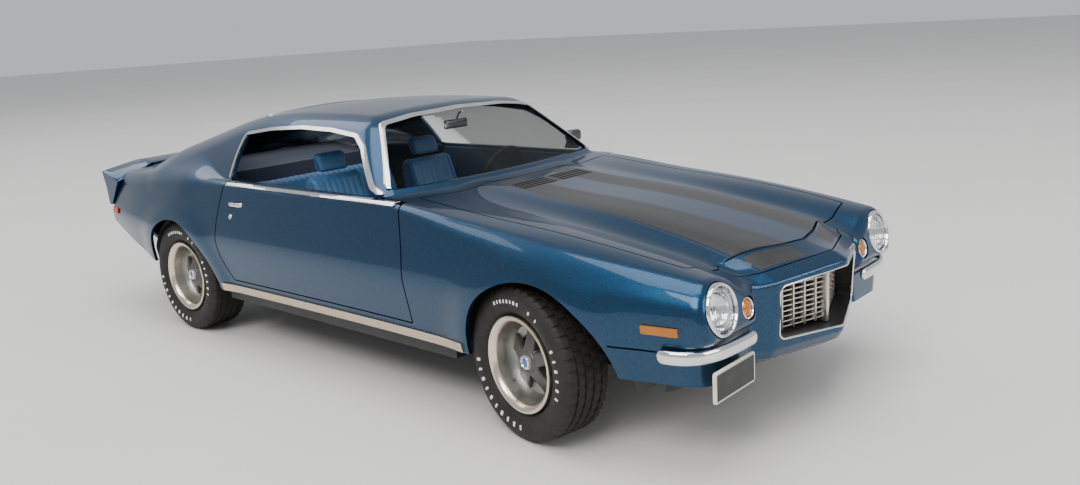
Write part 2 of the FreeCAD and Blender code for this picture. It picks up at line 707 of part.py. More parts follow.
def make_crossmember():
    beam = box(FRONT_AXLE - 3.0, FRONT_AXLE + 3.0, -28.2, 28.2, 16.25, 20.0)
    parts = [beam]
    strap_low = FRONT_AXLE - 1.6
    strap_high = FRONT_AXLE + 1.6
    for side in (-1, 1):
        y = side * KINGPIN_Y
        for z0, z1 in ((12.9, 14.7), (21.7, 23.4)):
            parts.append(rod((FRONT_AXLE, y, z0), (FRONT_AXLE, y, z1), 2.0))
            parts.append(box(strap_low, strap_high, min(y, side * 29.2), max(y, side * 29.2), z0, z1))
        parts.append(box(strap_low, strap_high, min(side * 28.9, side * 30.6), max(side * 28.9, side * 30.6),
                         12.9, 23.4))
        parts.append(box(strap_low, strap_high, min(side * 24.0, side * 30.0), max(side * 24.0, side * 30.0),
                         16.25, 23.4))
        parts.append(rod((FRONT_AXLE, y, 12.9), (FRONT_AXLE, y, 23.4), STUB_R))
    return merge(*parts)


def make_tie_rod():
    """Bar between the steering arms, with a slot round each arm pin."""
    turn = math.radians(STEER_REST)
    bar_x = FRONT_AXLE - STEERING_ARM * math.cos(turn)
    shift = -STEERING_ARM * math.sin(turn)
    bar = box(bar_x - 2.6, bar_x + 2.6, -KINGPIN_Y - 2.4 + shift, KINGPIN_Y + 2.4 + shift, 16.9, 18.1)
    bar = bar.cut(box(bar_x - 0.8, bar_x + 3.0, -KINGPIN_Y + 3 + shift, KINGPIN_Y - 3 + shift, 16.0, 19.0))
    for side in (-1, 1):
        y = side * KINGPIN_Y + shift
        bar = bar.cut(box(bar_x - 1.6, bar_x + 1.6, y - 0.95, y + 0.95, 16.0, 19.0))
    return bar


def make_rear_axle():
    tube = rod((REAR_AXLE, -33.5, HUB_Z), (REAR_AXLE, 33.5, HUB_Z), 1.9)
    stub = rod((REAR_AXLE, -TRACK_REAR - 3.2, HUB_Z), (REAR_AXLE, TRACK_REAR + 3.2, HUB_Z), STUB_R)
    housing = Part.makeSphere(5.4, V(REAR_AXLE, 0, HUB_Z + 0.6))
    return merge(tube, stub, housing)


# ---------------------------------------------------------------- cabin and engine
def make_tub(room):
    """Cabin floor with its tunnel, firewall and the panel behind the rear seat."""
    floor = prism(mirrored([(34.0, -41.0), (-50.2, -41.0), (-50.2, -29.2),
                            (-60.0, -29.2)]), "xy", 16.6, 18.0)
    firewall = box(33.2, 34.6, -44.0, 44.0, 16.6, 49.0).common(room)
    bulkhead = prism([(-60.0, 16.6), (-63.0, 16.6), (-72.0, 50.0), (-70.0, 50.0),
                      (-60.0, 18.0)], "xz", -29.4, 29.4)
    shelf = prism([(-71.8, 48.0), (-92.0, 51.0), (-92.0, 52.4), (-71.0, 49.4)], "xz", -29.4, 29.4)
    tunnel = prism([(-32.0, 17.0), (33.4, 17.0), (33.4, 24.0), (-32.0, 22.0)], "xz", -5.0, 5.0)
    return merge(floor, firewall, bulkhead, shelf, tunnel)


def make_seat(y):
    cushion = soften(prism([(1.0, 19.0), (2.5, 26.5), (0.0, 28.6), (-17.0, 27.0), (-21.0, 25.4),
                            (-20.0, 19.0)],
                           "xz", y - 10.0, y + 10.0), 1.2)
    back = soften(prism([(-19.5, 28.0), (-16.5, 29.5), (-24.5, 50.5), (-27.5, 51.2), (-30.0, 49.0),
                         (-25.5, 22.5), (-22.0, 22.5)], "xz", y - 9.6, y + 9.6), 1.2)
    head = soften(prism([(-25.2, 51.6), (-26.8, 57.4), (-29.2, 58.0), (-30.6, 56.4), (-29.4, 51.8)],
                        "xz", y - 5.4, y + 5.4), 0.8)
    return [cushion, back, head]


def make_rear_seat():
    cushion = soften(prism([(-34.0, 18.4), (-33.0, 27.4), (-36.0, 28.6), (-49.5, 26.4), (-49.5, 18.4)],
                           "xz", -29.0, 29.0), 1.0)
    back = soften(prism([(-50.0, 24.0), (-50.0, 27.6), (-58.6, 46.4), (-62.0, 47.0), (-62.4, 44.0),
                         (-55.0, 24.0)],
                        "xz", -29.0, 29.0), 1.0)
    return [cushion, back]


def make_console():
    base = soften(prism([(-26.0, 24.2), (20.0, 24.2), (18.0, 27.6), (-24.0, 27.2)], "xz", -4.4, 4.4), 0.5)
    lever = rod((3.0, 0.0, 27.0), (0.6, 0.0, 35.0), 0.55)
    knob = Part.makeSphere(1.5, V(0.4, 0.0, 35.8))
    return merge(base, lever, knob)


def make_springs(axle):
    leaves = []
    for side in (-1, 1):
        y0 = side * 26.0 - 1.3
        upper = box(-92.0, -66.0, y0, y0 + 2.6, 17.0, 17.6)
        leaf = merge(box(-98.0, -64.0, y0, y0 + 2.6, 16.25, 17.0), upper)
        leaves.append(leaf.cut(axle))
    return leaves


def make_screws():
    heads = []
    for x in (40.0, -40.0):
        for y in (-30.0, 30.0):
            head = rod((x, y, 12.6), (x, y, 13.55), 1.9)
            head = head.cut(box(x - 1.3, x + 1.3, y - 0.22, y + 0.22, 12.0, 13.1))
            heads.append(head.cut(box(x - 0.22, x + 0.22, y - 1.3, y + 1.3, 12.0, 13.1)))
    return heads


def make_dashboard(room):
    pad = prism([(32.6, 49.6), (24.0, 49.8), (20.6, 48.4), (20.0, 45.0), (23.0, 41.0), (24.0, 36.0),
                 (32.6, 36.0)],
                "xz", -41.0, 41.0)
    return pad.common(room)


def column_point(distance):
    lean = math.radians(WHEEL_TILT)
    cx, cy, cz = STEERING_CENTRE
    return (cx + distance * math.cos(lean), cy, cz - distance * math.sin(lean))


def make_steering_wheel():
    lean = math.radians(WHEEL_TILT)
    axis = V(-math.cos(lean), 0, math.sin(lean))
    centre = V(*STEERING_CENTRE)
    wheel = Part.makeTorus(8.6, 0.62, centre, axis)
    hub = Part.makeCylinder(2.0, 2.4, centre - axis * 2.6, axis)
    spokes = []
    for k in range(3):
        spoke = Part.makeBox(8.4, 1.5, 0.6, V(0, -0.75, -0.9))
        spoke.rotate(V(0, 0, 0), V(0, 0, 1), 120 * k - 90)
        spoke.rotate(V(0, 0, 0), V(0, 1, 0), -(90 - WHEEL_TILT))
        spoke.translate(centre)
        spokes.append(spoke)
    bore = Part.makeCylinder(0.85, 2.0, centre - axis * 2.7, axis)
    return merge(wheel, hub, *spokes).cut(bore)


def make_column():
    column = rod(column_point(3.2), column_point(20.0), 1.7)
    tip = rod(column_point(1.2), column_point(3.4), 0.8)
    return merge(column, tip)


def make_engine():
    block = box(46.0, 72.0, -8.0, 8.0, 21.5, 33.0)
    banks = []
    for side in (-1, 1):
        bank = box(46.0, 72.0, -4.2, 4.2, 0.0, 9.0)
        bank.rotate(V(0, 0, 0), V(1, 0, 0), -45 * side)
        bank.translate(V(0, side * 3.4, 28.4))
        banks.append(bank)
    intake = box(50.0, 68.0, -4.6, 4.6, 32.0, 37.6)
    block = merge(block, intake, *banks)
    covers = []
    for side in (-1, 1):
        cover = box(47.0, 71.0, -3.2, 3.2, 9.1, 11.4)
        cover.rotate(V(0, 0, 0), V(1, 0, 0), -45 * side)
        cover.translate(V(0, side * 3.4, 28.4))
        covers.append(cover)
    cleaner = soften(rod((59.0, 0, 37.8), (59.0, 0, 42.2), 8.6), 0.5)
    return block, covers, cleaner


def make_radiator():
    core = box(101.0, 104.0, -21.0, 21.0, 17.2, 38.0)
    tank = soften(box(100.4, 104.6, -22.5, 22.5, 38.05, 40.0), 0.5)
    return merge(core, tank)


def make_exhaust():
    """Two pipes, each with its silencer."""
    pipes = []
    for side in (-1, 1):
        y = side * 11.0
        front = rod((46.0, y, 11.9), (-52.0, y, 11.9), 1.3)
        middle = rod((-51.0, y, 11.9), (-98.5, y * 1.6, 11.9), 1.3)
        silencer = rod((-96.0, y * 1.6, 11.0), (-114.0, y * 1.6, 11.0), 2.5)
        tail = rod((-111.5, y * 1.6, 11.9), (-122.5, y * 1.9, 18.5), 1.2)
        pipes.append(merge(front, middle, silencer, tail))
    return pipes


# ---------------------------------------------------------------- the whole model
def grown_skin(offset, last):
    """The outer form moved outwards (negative) or inwards (positive)."""
    first = -127.2 + max(offset, 0.0)
    return skin_solid(lambda x, y, z: body_field(x, y, z) + offset, first, last, SILL_Z - offset)


def save_body(outer, shell, body, hood, trunk, door):
    save("body_shell", body)
    save("hood", hood)
    save("trunk_lid", trunk)
    band = grown_skin(-0.6, 121.8).cut(outer)
    card = make_door_card()
    trim = make_door_trim(band)
    for name, side in (("right", lambda shape: shape), ("left", flip)):
        save("door_" + name, side(door))
        save("door_card_" + name, side(card))
        save("door_trim_" + name, *[side(piece) for piece in trim])
    save("door_mirror", make_mirror())
    arch = rod((ARCH_FRONT[0], -65, ARCH_FRONT[1]), (ARCH_FRONT[0], 65, ARCH_FRONT[1]), ARCH_FRONT[2])
    valance = shell.common(valance_space()).cut(arch)
    valance.translate(V(0, 0, -0.3))
    save("front_valances", valance, flip(valance))
    windshield_trim = make_windshield_trim(band)
    side_trim = make_side_trim(band).cut(windshield_trim)
    save("side_window_trim", side_trim, flip(side_trim))
    save("windshield_trim", windshield_trim)
    rocker = band.common(box(-50.0, 57.6, -60.0, -44.0, 16.8, 19.4))
    save("rocker_mouldings", rocker, flip(rocker))
    amber = band.common(box(110.6, 118.4, -60.0, -44.0, 31.4, 33.1))
    save("front_markers", amber, flip(amber))
    red = band.common(box(-125.0, -119.0, -60.0, -44.0, 35.0, 37.0))
    return [red, flip(red)]


def save_front(outer):
    nose, cavity = make_nose(prism(shrink(mirrored(HOOD_SIDE), -GAP / 2), "xy", 37.0, 60.0))
    save("nose_panel", nose)
    save("grille", make_grille().common(cavity))
    save("grille_surround", make_surround(nose))
    bezels, lenses, parking = make_lamps()
    save("lamp_bezels", *bezels)
    save("headlight_lenses", *lenses)
    save("parking_lamp_lenses", *parking)
    bumperette = make_bumperette().cut(outer)
    save("front_bumperettes", bumperette, flip(bumperette))
    save("licence_plate", make_plate())


def save_rear(outer, red_markers):
    panel, lamps, bumper, cap = make_tail(outer)
    save("tail_panel", panel)
    save("tail_lamps", *(red_markers + lamps))
    save("rear_bumper", bumper)
    save("spoiler_ends", cap, flip(cap))
    save("spoiler_centre", make_spoiler().cut(outer))


def save_glass():
    glazing = grown_skin(0.5, 119.0).cut(grown_skin(1.1, 118.0))
    save("windshield", glazing.common(windshield_hole()))
    rear_hole = prism(mirrored([(-49.2, 0.0), (-50.7, -26.3), (-85.8, -23.8),
                                (-87.8, 0.0)]), "xy", 53.0, 80.0)
    save("rear_window", glazing.common(rear_hole))


def save_inside(room):
    save("cabin_tub", make_tub(room))
    column = make_column()
    save("dashboard", make_dashboard(room).cut(column))
    save("steering_column", column)
    save("steering_wheel", make_steering_wheel())
    save("front_seats", *(make_seat(-19.5) + make_seat(19.5)))
    save("rear_seat", *make_rear_seat())
    save("console", make_console())
    save("cabin_mirror", soften(box(9.0, 10.6, -4.6, 4.6, 64.0, 66.6), 0.4))
    block, covers, cleaner = make_engine()
    save("engine_block", block)
    save("valve_covers", *covers)
    save("air_cleaner", cleaner)
    save("radiator", make_radiator())


def save_chassis(room):
    axle = make_rear_axle()
    crossmember = make_crossmember()
    save("chassis", *make_chassis(room, axle, crossmember))
    save("chassis_screws", *make_screws())
    save("exhaust", *make_exhaust())
    save("driveshaft", rod((44.0, 0, 11.9), (-66.0, 0, 11.9), 1.3))
    save("rear_axle", axle)
    save("leaf_springs", *make_springs(axle))
    save("front_crossmember", crossmember)
    save("tie_rod", make_tie_rod())
    for name, side in (("right", -1), ("left", 1)):
        save("knuckle_" + name, steered(make_knuckle(side), side))
        save("tyre_front_" + name, steered(make_tyre(FRONT_AXLE, TRACK_FRONT, side), side))
        save("rim_front_" + name, steered(make_rim(FRONT_AXLE, TRACK_FRONT, side), side))
        save("tyre_rear_" + name, make_tyre(REAR_AXLE, TRACK_REAR, side))
        save("rim_rear_" + name, make_rim(REAR_AXLE, TRACK_REAR, side))


def main():
    os.makedirs("parts", exist_ok=True)
    outer, shell, body, hood, trunk, door = make_body()
    room = grown_skin(WALL + 0.45, 119.0)
    red_markers = save_body(outer, shell, body, hood, trunk, door)
    save_front(outer)
    save_rear(outer, red_markers)
    save_glass()
    save_inside(room)
    save_chassis(room)


if __name__ == "__main__":
    main()
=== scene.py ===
"""1:18 diecast coupe: fine body skins, wheels, lamps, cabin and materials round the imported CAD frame."""
import math

import bmesh
import bpy
import numpy as np
from mathutils import Matrix, Vector


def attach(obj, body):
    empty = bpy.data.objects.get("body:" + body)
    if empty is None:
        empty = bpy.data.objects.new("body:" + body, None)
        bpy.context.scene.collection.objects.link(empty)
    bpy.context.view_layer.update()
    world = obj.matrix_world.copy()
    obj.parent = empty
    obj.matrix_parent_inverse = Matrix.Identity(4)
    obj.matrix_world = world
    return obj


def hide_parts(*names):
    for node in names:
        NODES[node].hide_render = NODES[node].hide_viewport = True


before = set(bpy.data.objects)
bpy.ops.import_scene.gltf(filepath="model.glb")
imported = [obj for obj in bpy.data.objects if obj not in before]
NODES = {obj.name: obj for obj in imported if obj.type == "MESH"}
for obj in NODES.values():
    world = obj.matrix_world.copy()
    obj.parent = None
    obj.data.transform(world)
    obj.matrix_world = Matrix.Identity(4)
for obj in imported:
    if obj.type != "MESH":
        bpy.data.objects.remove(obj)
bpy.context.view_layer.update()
MM = 0.001

# ---------------------------------------------------------------- driving dimensions (mm)
FRONT_AXLE = 79.8
REAR_AXLE = -73.4
HUB_Z = 18.2
KINGPIN_Y = 34.6
STEER_REST = math.radians(-10.0)
TRACK_FRONT = 44.6
TRACK_REAR = 43.0
TYRE_R = 18.2

NOSE_TIP = 132.4
FACE_X = 123.6
REAR_X = -127.8
SILL_Z = 16.5
CREASE_Z = 34.0
CREST_Y = 39.0
WALL = 1.0
GAP = 0.42
ARCH_FRONT = (81.5, 16.0, 22.3)
ARCH_REAR = (-73.0, 17.0, 20.8)
FLARE = 0.8
FLARE_WIDTH = 5.0
HEADLIGHT = (122.7, 39.0, 35.5)
HEADLIGHT_R = 5.78
PARKING = (123.0, 29.0, 33.3)
PARKING_R = 2.6
LAMP_LEAN = math.radians(11.0)
NOSE_HALF = 25.4
LIP_RUN = 3.4
NOSE_START = 108.0
SEAM = 0.002


# ---------------------------------------------------------------- maths
class Curve:
    """Natural cubic spline through a few points, straight beyond its ends."""

    def __init__(self, *points):
        data = np.array(sorted(points), float)
        self.x = data[:, 0]
        self.y = data[:, 1]
        n = len(data)
        h = np.diff(self.x)
        slope = np.diff(self.y) / h
        system = np.eye(n)
        right = np.zeros(n)
        for i in range(1, n - 1):
            system[i, i - 1:i + 2] = h[i - 1], 2.0 * (h[i - 1] + h[i]), h[i]
            right[i] = 6.0 * (slope[i] - slope[i - 1])
        self.bend = np.linalg.solve(system, right)

    def __call__(self, x):
        x = np.asarray(x, float)
        inside = np.clip(x, self.x[0], self.x[-1])
        i = np.clip(np.searchsorted(self.x, inside) - 1, 0, len(self.x) - 2)
        h = self.x[i + 1] - self.x[i]
        a = (self.x[i + 1] - inside) / h
        b = 1.0 - a
        m0 = self.bend[i]
        m1 = self.bend[i + 1]
        value = a * self.y[i] + b * self.y[i + 1] + ((a ** 3 - a) * m0 + (b ** 3 - b) * m1) * h * h / 6.0
        slope = (self.y[i + 1] - self.y[i]) / h + ((1 - 3 * a * a) * m0 + (3 * b * b - 1) * m1) * h / 6.0
        return value + slope * (x - inside)


def step(x, x0, x1):
    t = np.clip((np.asarray(x, float) - x0) / (x1 - x0), 0.0, 1.0)
    return t * t * (3.0 - 2.0 * t)


def round_and(a, b, r):
    return np.minimum(np.maximum(a, b), -r) + np.hypot(np.maximum(a + r, 0.0), np.maximum(b + r, 0.0))


def round_or(a, b, r):
    return np.maximum(np.minimum(a, b), r) - np.hypot(np.maximum(r - a, 0.0), np.maximum(r - b, 0.0))


# ---------------------------------------------------------------- body form, as in the frame
plan_width = Curve((-129, 45.6), (-110, 49.0), (-90, 51.0), (-73, 51.7), (-50, 51.5), (-20, 51.0), (10, 50.7),
                   (40, 50.8), (65, 51.4), (85, 51.4), (105, 49.7), (118, 47.3), (125, 46.0))
crest_z = Curve((-129, 47.2), (-104, 49.6), (-74, 51.8), (-48, 51.6), (0, 51.2), (28, 51.6), (36, 51.2),
                (57, 49.1), (80, 47.3), (99, 45.2), (115, 42.8), (124, 41.3))
valley_depth = Curve((36, 0.1), (60, 0.8), (80, 1.5), (100, 2.3), (115, 2.9), (124, 4.4))
dome_height = Curve((36, 0.8), (60, 0.9), (85, 0.9), (115, 0.4), (124, 0.2))
deck_crown = Curve((-129, 3.6), (-107, 5.3), (-95, 5.3), (-80, 4.0))
roof_line = Curve((20, 71.4), (10, 71.9), (-12, 72.4), (-40, 71.5), (-57, 69.1), (-70, 65.9), (-84, 62.2),
                  (-95, 59.0), (-107, 55.0), (-120, 50.0))
cabin_base = Curve((30, 44.6), (0, 45.6), (-30, 45.4), (-48, 44.2), (-65, 42.8), (-84, 41.0), (-110, 38.5))


def arch_flare(x, z, arch):
    away = np.hypot(x - arch[0], z - arch[1]) - arch[2]
    return FLARE * np.exp(-((away - 1.0) / FLARE_WIDTH) ** 2)


def side_y(x, z):
    lift = z - CREASE_Z
    slope = np.where(lift > 0, 0.29, 0.27)
    inset = slope * (np.sqrt(lift * lift + 6.0) - math.sqrt(6.0))
    return plan_width(x) - inset + arch_flare(x, z, ARCH_FRONT) + arch_flare(x, z, ARCH_REAR)


def top_z(x, y):
    u = np.abs(y)
    z = crest_z(x) - (0.006 + 0.022 * step(x, 40, 110)) * np.maximum(u - CREST_Y, 0.0) ** 2
    fade = step(x, 20, 40)
    valley = np.exp(-((u - 26.3) / 6.5) ** 2)
    dome = 1.0 / (1.0 + np.exp((u - 20.0) / 1.6))
    z = z + fade * (dome * dome_height(x) - valley * valley_depth(x))
    return z + step(-x, 70, 90) * deck_crown(x) * (1.0 - (np.minimum(u, 46.0) / 46.0) ** 2)


def crest_radius(x):
    return 1.6 + 2.6 * step(x, 25, 70) + 1.8 * step(-x, 50, 80)


def face_x(z):
    """Fender face through the lamps: it leans back, steps in below them and tucks under."""
    leaning = FACE_X - (z - HEADLIGHT[2]) * math.tan(LAMP_LEAN)
    return leaning - 3.0 * step(31.0 - z, 0.0, 4.0) - 0.15 * np.maximum(0.0, 27.0 - z)


def windshield_z(x, y):
    return 52.0 + (33.6 - 0.0034 * y * y - x) / 1.17


def cabin_side(x, z):
    lift = np.maximum(z - 51.5, -6.0)
    return cabin_base(x) - 0.52 * lift - 0.014 * lift * np.abs(lift)


def cabin_field(x, y, z):
    roof = z - (roof_line(x) - 1.7 * (y / 30.0) ** 2)
    top = round_and(roof, (z - windshield_z(x, y)) * 0.76, 2.5)
    cabin = round_and((np.abs(y) - cabin_side(x, z)) * 0.85, top, 3.0 + 2.0 * step(-x, 40, 70))
    return round_and(cabin, 48.0 - z, 3.0)


# ---------------------------------------------------------------- outer form with the nose panel on it
def seam_x(u):
    """Plan line of the hood's front edge."""
    line = np.where(u < 8.0, 121.9 - 0.19 * u, 120.4 - 0.37 * (u - 8.0))
    return line - 0.10 * np.maximum(u - 17.0, 0.0)


def nose_front(u):
    """Plan line of the nose: a shallow V."""
    return NOSE_TIP + 0.2 - 0.342 * np.sqrt(u * u + 0.6) - 0.30 * np.maximum(u - 19.6, 0.0)


def nose_top(x, u, hood):
    """Height of the nose panel, sloping from the hood's edge to the lip over the grille."""
    run = nose_front(u) - x
    back = nose_front(u) - seam_x(u)
    ramp = 38.4 - 0.08 * u + 0.5 * np.minimum(run, LIP_RUN)
    share = np.clip((run - LIP_RUN) / (back - LIP_RUN), 0.0, 1.0)
    return ramp * (1.0 - share) + hood * share


def front_x(u, z):
    """Plan line of the whole front: nose in the middle, lamp faces outside."""
    tuck = np.interp(z, [18.2, 19.6, 21.6, 30.0, 38.0], [4.8, 2.2, 1.0, 0.3, 0.0])
    inside = 1.0 - step(u, 24.2, 27.0)
    return face_x(z) + inside * (nose_front(u) - tuck - face_x(z))


def lower_skin(x, y, z):
    u = np.abs(y)
    hood = top_z(x, y)
    inside = 1.0 - step(u, 22.8, 27.2)
    top = hood + inside * (nose_top(x, u, hood) - hood)
    soft = 2.2 + 3.5 * step(31.0 - z, 0.0, 4.0)
    soft = soft + (1.0 - step(u, 23.5, 27.5)) * (0.6 - soft)
    edge = round_and(u - side_y(x, z), z - top, crest_radius(x))
    edge = round_and(edge, x - front_x(u, z), soft)
    return round_and(edge, REAR_X - x, 2.2)


def skin_field(x, y, z):
    blend = 0.3 + 6.5 * step(-x, 46, 72) * (1.0 - step(-x, 88, 112))
    return round_or(lower_skin(x, y, z), cabin_field(x, y, z), blend)


def slope(field, p):
    """Gradient of a field at points p (mm)."""
    d = 0.02
    g = np.empty_like(p)
    for axis in range(3):
        shift = np.zeros(3)
        shift[axis] = d
        a = p + shift
        b = p - shift
        g[:, axis] = (field(a[:, 0], a[:, 1], a[:, 2]) - field(b[:, 0], b[:, 1], b[:, 2])) / (2.0 * d)
    return g


def surface_net(field, xs, half_ys, zs, low, offset=0.0):
    """Closed mesh of a field that is the same on both sides, with one point per crossed cell."""
    def closed(x, y, z):
        ends = np.maximum(xs[0] + 0.7 - x, x - xs[-1] + 0.7)
        return np.maximum(np.maximum(field(x, y, z) + offset, low - z), ends)

    ys = np.concatenate([-half_ys[:0:-1], half_ys])
    near = closed(*np.meshgrid(xs, half_ys, zs, indexing="ij"))
    value = np.concatenate([near[:, :0:-1], near], axis=1)
    solid = value < 0.0
    grid = np.meshgrid(xs, ys, zs, indexing="ij")
    shape = tuple(n - 1 for n in value.shape)
    total = np.zeros(shape + (3,))
    count = np.zeros(shape)
    for axis in range(3):
        low_side = tuple(slice(0, -1) if k == axis else slice(None) for k in range(3))
        high_side = tuple(slice(1, None) if k == axis else slice(None) for k in range(3))
        a = value[low_side]
        b = value[high_side]
        crossed = solid[low_side] != solid[high_side]
        share = np.where(crossed, a / np.where(crossed, a - b, 1.0), 0.0)
        points = np.stack([g[low_side] for g in grid], axis=-1)
        points[..., axis] += share * (grid[axis][high_side] - grid[axis][low_side])
        others = [k for k in range(3) if k != axis]
        for first in (0, 1):
            for second in (0, 1):
                cut = [slice(None)] * 3
                cut[others[0]] = slice(first, first + shape[others[0]])
                cut[others[1]] = slice(second, second + shape[others[1]])
                hit = crossed[tuple(cut)]
                total += points[tuple(cut)] * hit[..., None]
                count += hit
    used = count > 0
    verts = total[used] / count[used][:, None]
    index = np.full(shape, -1)
    index[used] = np.arange(len(verts))
    faces = []
    for axis in range(3):
        low_side = tuple(slice(0, -1) if k == axis else slice(1, -1) for k in range(3))
        high_side = tuple(slice(1, None) if k == axis else slice(1, -1) for k in range(3))
        first = solid[low_side]
        crossed = first != solid[high_side]
        others = [(axis + 1) % 3, (axis + 2) % 3]
        corners = []
        for da, db in ((0, 0), (1, 0), (1, 1), (0, 1)):
            cut = [slice(None)] * 3
            cut[others[0]] = slice(da, da + shape[others[0]] - 1)
            cut[others[1]] = slice(db, db + shape[others[1]] - 1)
            corners.append(index[tuple(cut)][crossed])
        quads = np.stack(corners, axis=1)
        backward = ~first[crossed]
        quads[backward] = quads[backward][:, ::-1]
        faces.append(quads)
    for _ in range(3):
        g = slope(closed, verts)
        off = closed(verts[:, 0], verts[:, 1], verts[:, 2])
        verts = verts - g * (off / np.maximum((g * g).sum(1), 0.2))[:, None]
    return verts, np.concatenate(faces)


# ---------------------------------------------------------------- mesh helpers
def new_object(name, verts, faces, smooth=True):
    """Mesh object from points in millimetres."""
    mesh = bpy.data.meshes.new(name)
    mesh.from_pydata([tuple(v) for v in np.asarray(verts, float) * MM], [], [list(f) for f in faces])
    mesh.update()
    obj = bpy.data.objects.new(name, mesh)
    bpy.context.scene.collection.objects.link(obj)
    if smooth:
        mesh.polygons.foreach_set("use_smooth", [True] * len(mesh.polygons))
    return obj


def fix_normals(obj, weld=0.0):
    """Turn faces outwards, joining loose seams first where a distance is given."""
    bm = bmesh.new()
    bm.from_mesh(obj.data)
    if weld:
        bmesh.ops.remove_doubles(bm, verts=bm.verts, dist=weld)
    bmesh.ops.recalc_face_normals(bm, faces=bm.faces)
    bm.to_mesh(obj.data)
    bm.free()
    return obj


def grid_faces(rows, columns, closed_rows=False):
    """Quads between rings of points."""
    faces = []
    for i in range(rows if closed_rows else rows - 1):
        for j in range(columns):
            near = i * columns
            far = ((i + 1) % rows) * columns
            beside = (j + 1) % columns
            faces.append((near + j, near + beside, far + beside, far + j))
    return faces


def loft_faces(rows, columns):
    """Quads between rings of points, with both ends capped."""
    last = (rows - 1) * columns
    return grid_faces(rows, columns) + [tuple(range(columns)), tuple(range(last, last + columns))]


def rect(a0, a1, b0, b1):
    return [(a0, b0), (a1, b0), (a1, b1), (a0, b1)]


def prism(name, points, plane, low, high):
    """Extruded polygon as a closed mesh (mm)."""
    order = {"xy": (0, 1, 2), "xz": (0, 2, 1), "yz": (1, 2, 0)}[plane]
    verts = []
    for level in (low, high):
        for p in points:
            v = [0.0, 0.0, 0.0]
            v[order[0]] = p[0]
            v[order[1]] = p[1]
            v[order[2]] = level
            verts.append(v)
    return fix_normals(new_object(name, verts, loft_faces(2, len(points)), smooth=False))


def applied(obj):
    """Bake an object's modifiers into its mesh."""
    bpy.context.view_layer.update()
    evaluated = obj.evaluated_get(bpy.context.evaluated_depsgraph_get())
    mesh = bpy.data.meshes.new_from_object(evaluated)
    obj.modifiers.clear()
    old = obj.data
    obj.data = mesh
    bpy.data.meshes.remove(old)
    return obj


def boolean(target, tool, operation="DIFFERENCE", keep_tool=False):
    """Cut or intersect a closed mesh with another."""
    modifier = target.modifiers.new("cut", "BOOLEAN")
    modifier.operation = operation
    modifier.solver = "MANIFOLD"
    modifier.object = tool
    applied(target)
    if not keep_tool:
        bpy.data.objects.remove(tool)
    return target


def copy_of(obj, name):
    twin = obj.copy()
    twin.data = obj.data.copy()
    twin.name = name
    bpy.context.scene.collection.objects.link(twin)
    return twin


def mirror_copy(obj, name):
    """The same mesh on the other side of the car, in place."""
    twin = copy_of(obj, name)
    twin.data.transform(Matrix.Scale(-1.0, 4, (0, 1, 0)))
    twin.data.flip_normals()
    return twin


def field_normals(obj, field, angle=28.0):
    """Corner normals from the true surface where a face lies on it, flat elsewhere."""
    mesh = obj.data
    mesh.polygons.foreach_set("use_smooth", [True] * len(mesh.polygons))
    count = len(mesh.vertices)
    co = np.empty(count * 3)
    mesh.vertices.foreach_get("co", co)
    co = co.reshape(-1, 3) / MM
    true = slope(field, co)
    true = true / np.maximum(np.linalg.norm(true, axis=1, keepdims=True), 1e-9)
    value = field(co[:, 0], co[:, 1], co[:, 2])
    loops = np.empty(len(mesh.loops), int)
    mesh.loops.foreach_get("vertex_index", loops)
    face_normal = np.empty(len(mesh.polygons) * 3)
    mesh.polygons.foreach_get("normal", face_normal)
    sizes = np.empty(len(mesh.polygons), int)
    mesh.polygons.foreach_get("loop_total", sizes)
    flat = np.repeat(face_normal.reshape(-1, 3), sizes, axis=0)
    agree = (true[loops] * flat).sum(1)
    least = math.cos(math.radians(angle))
    outside = (agree > least) & (np.abs(value[loops]) < 0.1)
    inside = (agree < -least) & (value[loops] < -0.3)
    normals = np.where(outside[:, None], true[loops], flat)
    normals = np.where(inside[:, None], -true[loops], normals)
    mesh.normals_split_custom_set([tuple(n) for n in normals])


def spline_outline(points, count):
    """Points along a smooth open curve through a few points."""
    data = np.array(points, float)
    length = np.concatenate([[0.0], np.cumsum(np.linalg.norm(np.diff(data, axis=0), axis=1))])
    t = np.linspace(0.0, length[-1], count)
    return np.stack([Curve(*zip(length, data[:, k]))(t) for k in range(data.shape[1])], axis=1)


def offset_outline(points, distance):
    """Closed outline moved outwards (positive) or inwards (negative)."""
    p = np.array(points, float)
    ahead = np.roll(p, -1, axis=0) - p
    behind = p - np.roll(p, 1, axis=0)
    area = 0.5 * np.sum(p[:, 0] * np.roll(p[:, 1], -1) - np.roll(p[:, 0], -1) * p[:, 1])
    turn = 1.0 if area > 0 else -1.0

    def outward(d):
        return turn * np.stack([d[:, 1], -d[:, 0]], axis=1) / np.linalg.norm(d, axis=1, keepdims=True)

    n0 = outward(behind)
    n1 = outward(ahead)
    mean = n0 + n1
    mean = mean / np.maximum((mean * n0).sum(1, keepdims=True), 0.35)
    return p + mean * distance


def rounded(points, radius, steps=4):
    """Closed outline with each corner turned into a short arc."""
    p = np.array(points, float)
    result = []
    for i in range(len(p)):
        before = p[i - 1] - p[i]
        after = p[(i + 1) % len(p)] - p[i]
        reach = min(radius, 0.45 * np.linalg.norm(before), 0.45 * np.linalg.norm(after))
        start = p[i] + before / np.linalg.norm(before) * reach
        end = p[i] + after / np.linalg.norm(after) * reach
        for k in range(steps + 1):
            t = k / steps
            result.append((1 - t) ** 2 * start + 2 * t * (1 - t) * p[i] + t * t * end)
    return np.array(result)


def mirrored(points):
    """A half outline (y <= 0) joined to its mirror image."""
    return list(points) + [(p[0], -p[1]) for p in reversed(list(points)) if abs(p[1]) > 1e-9]


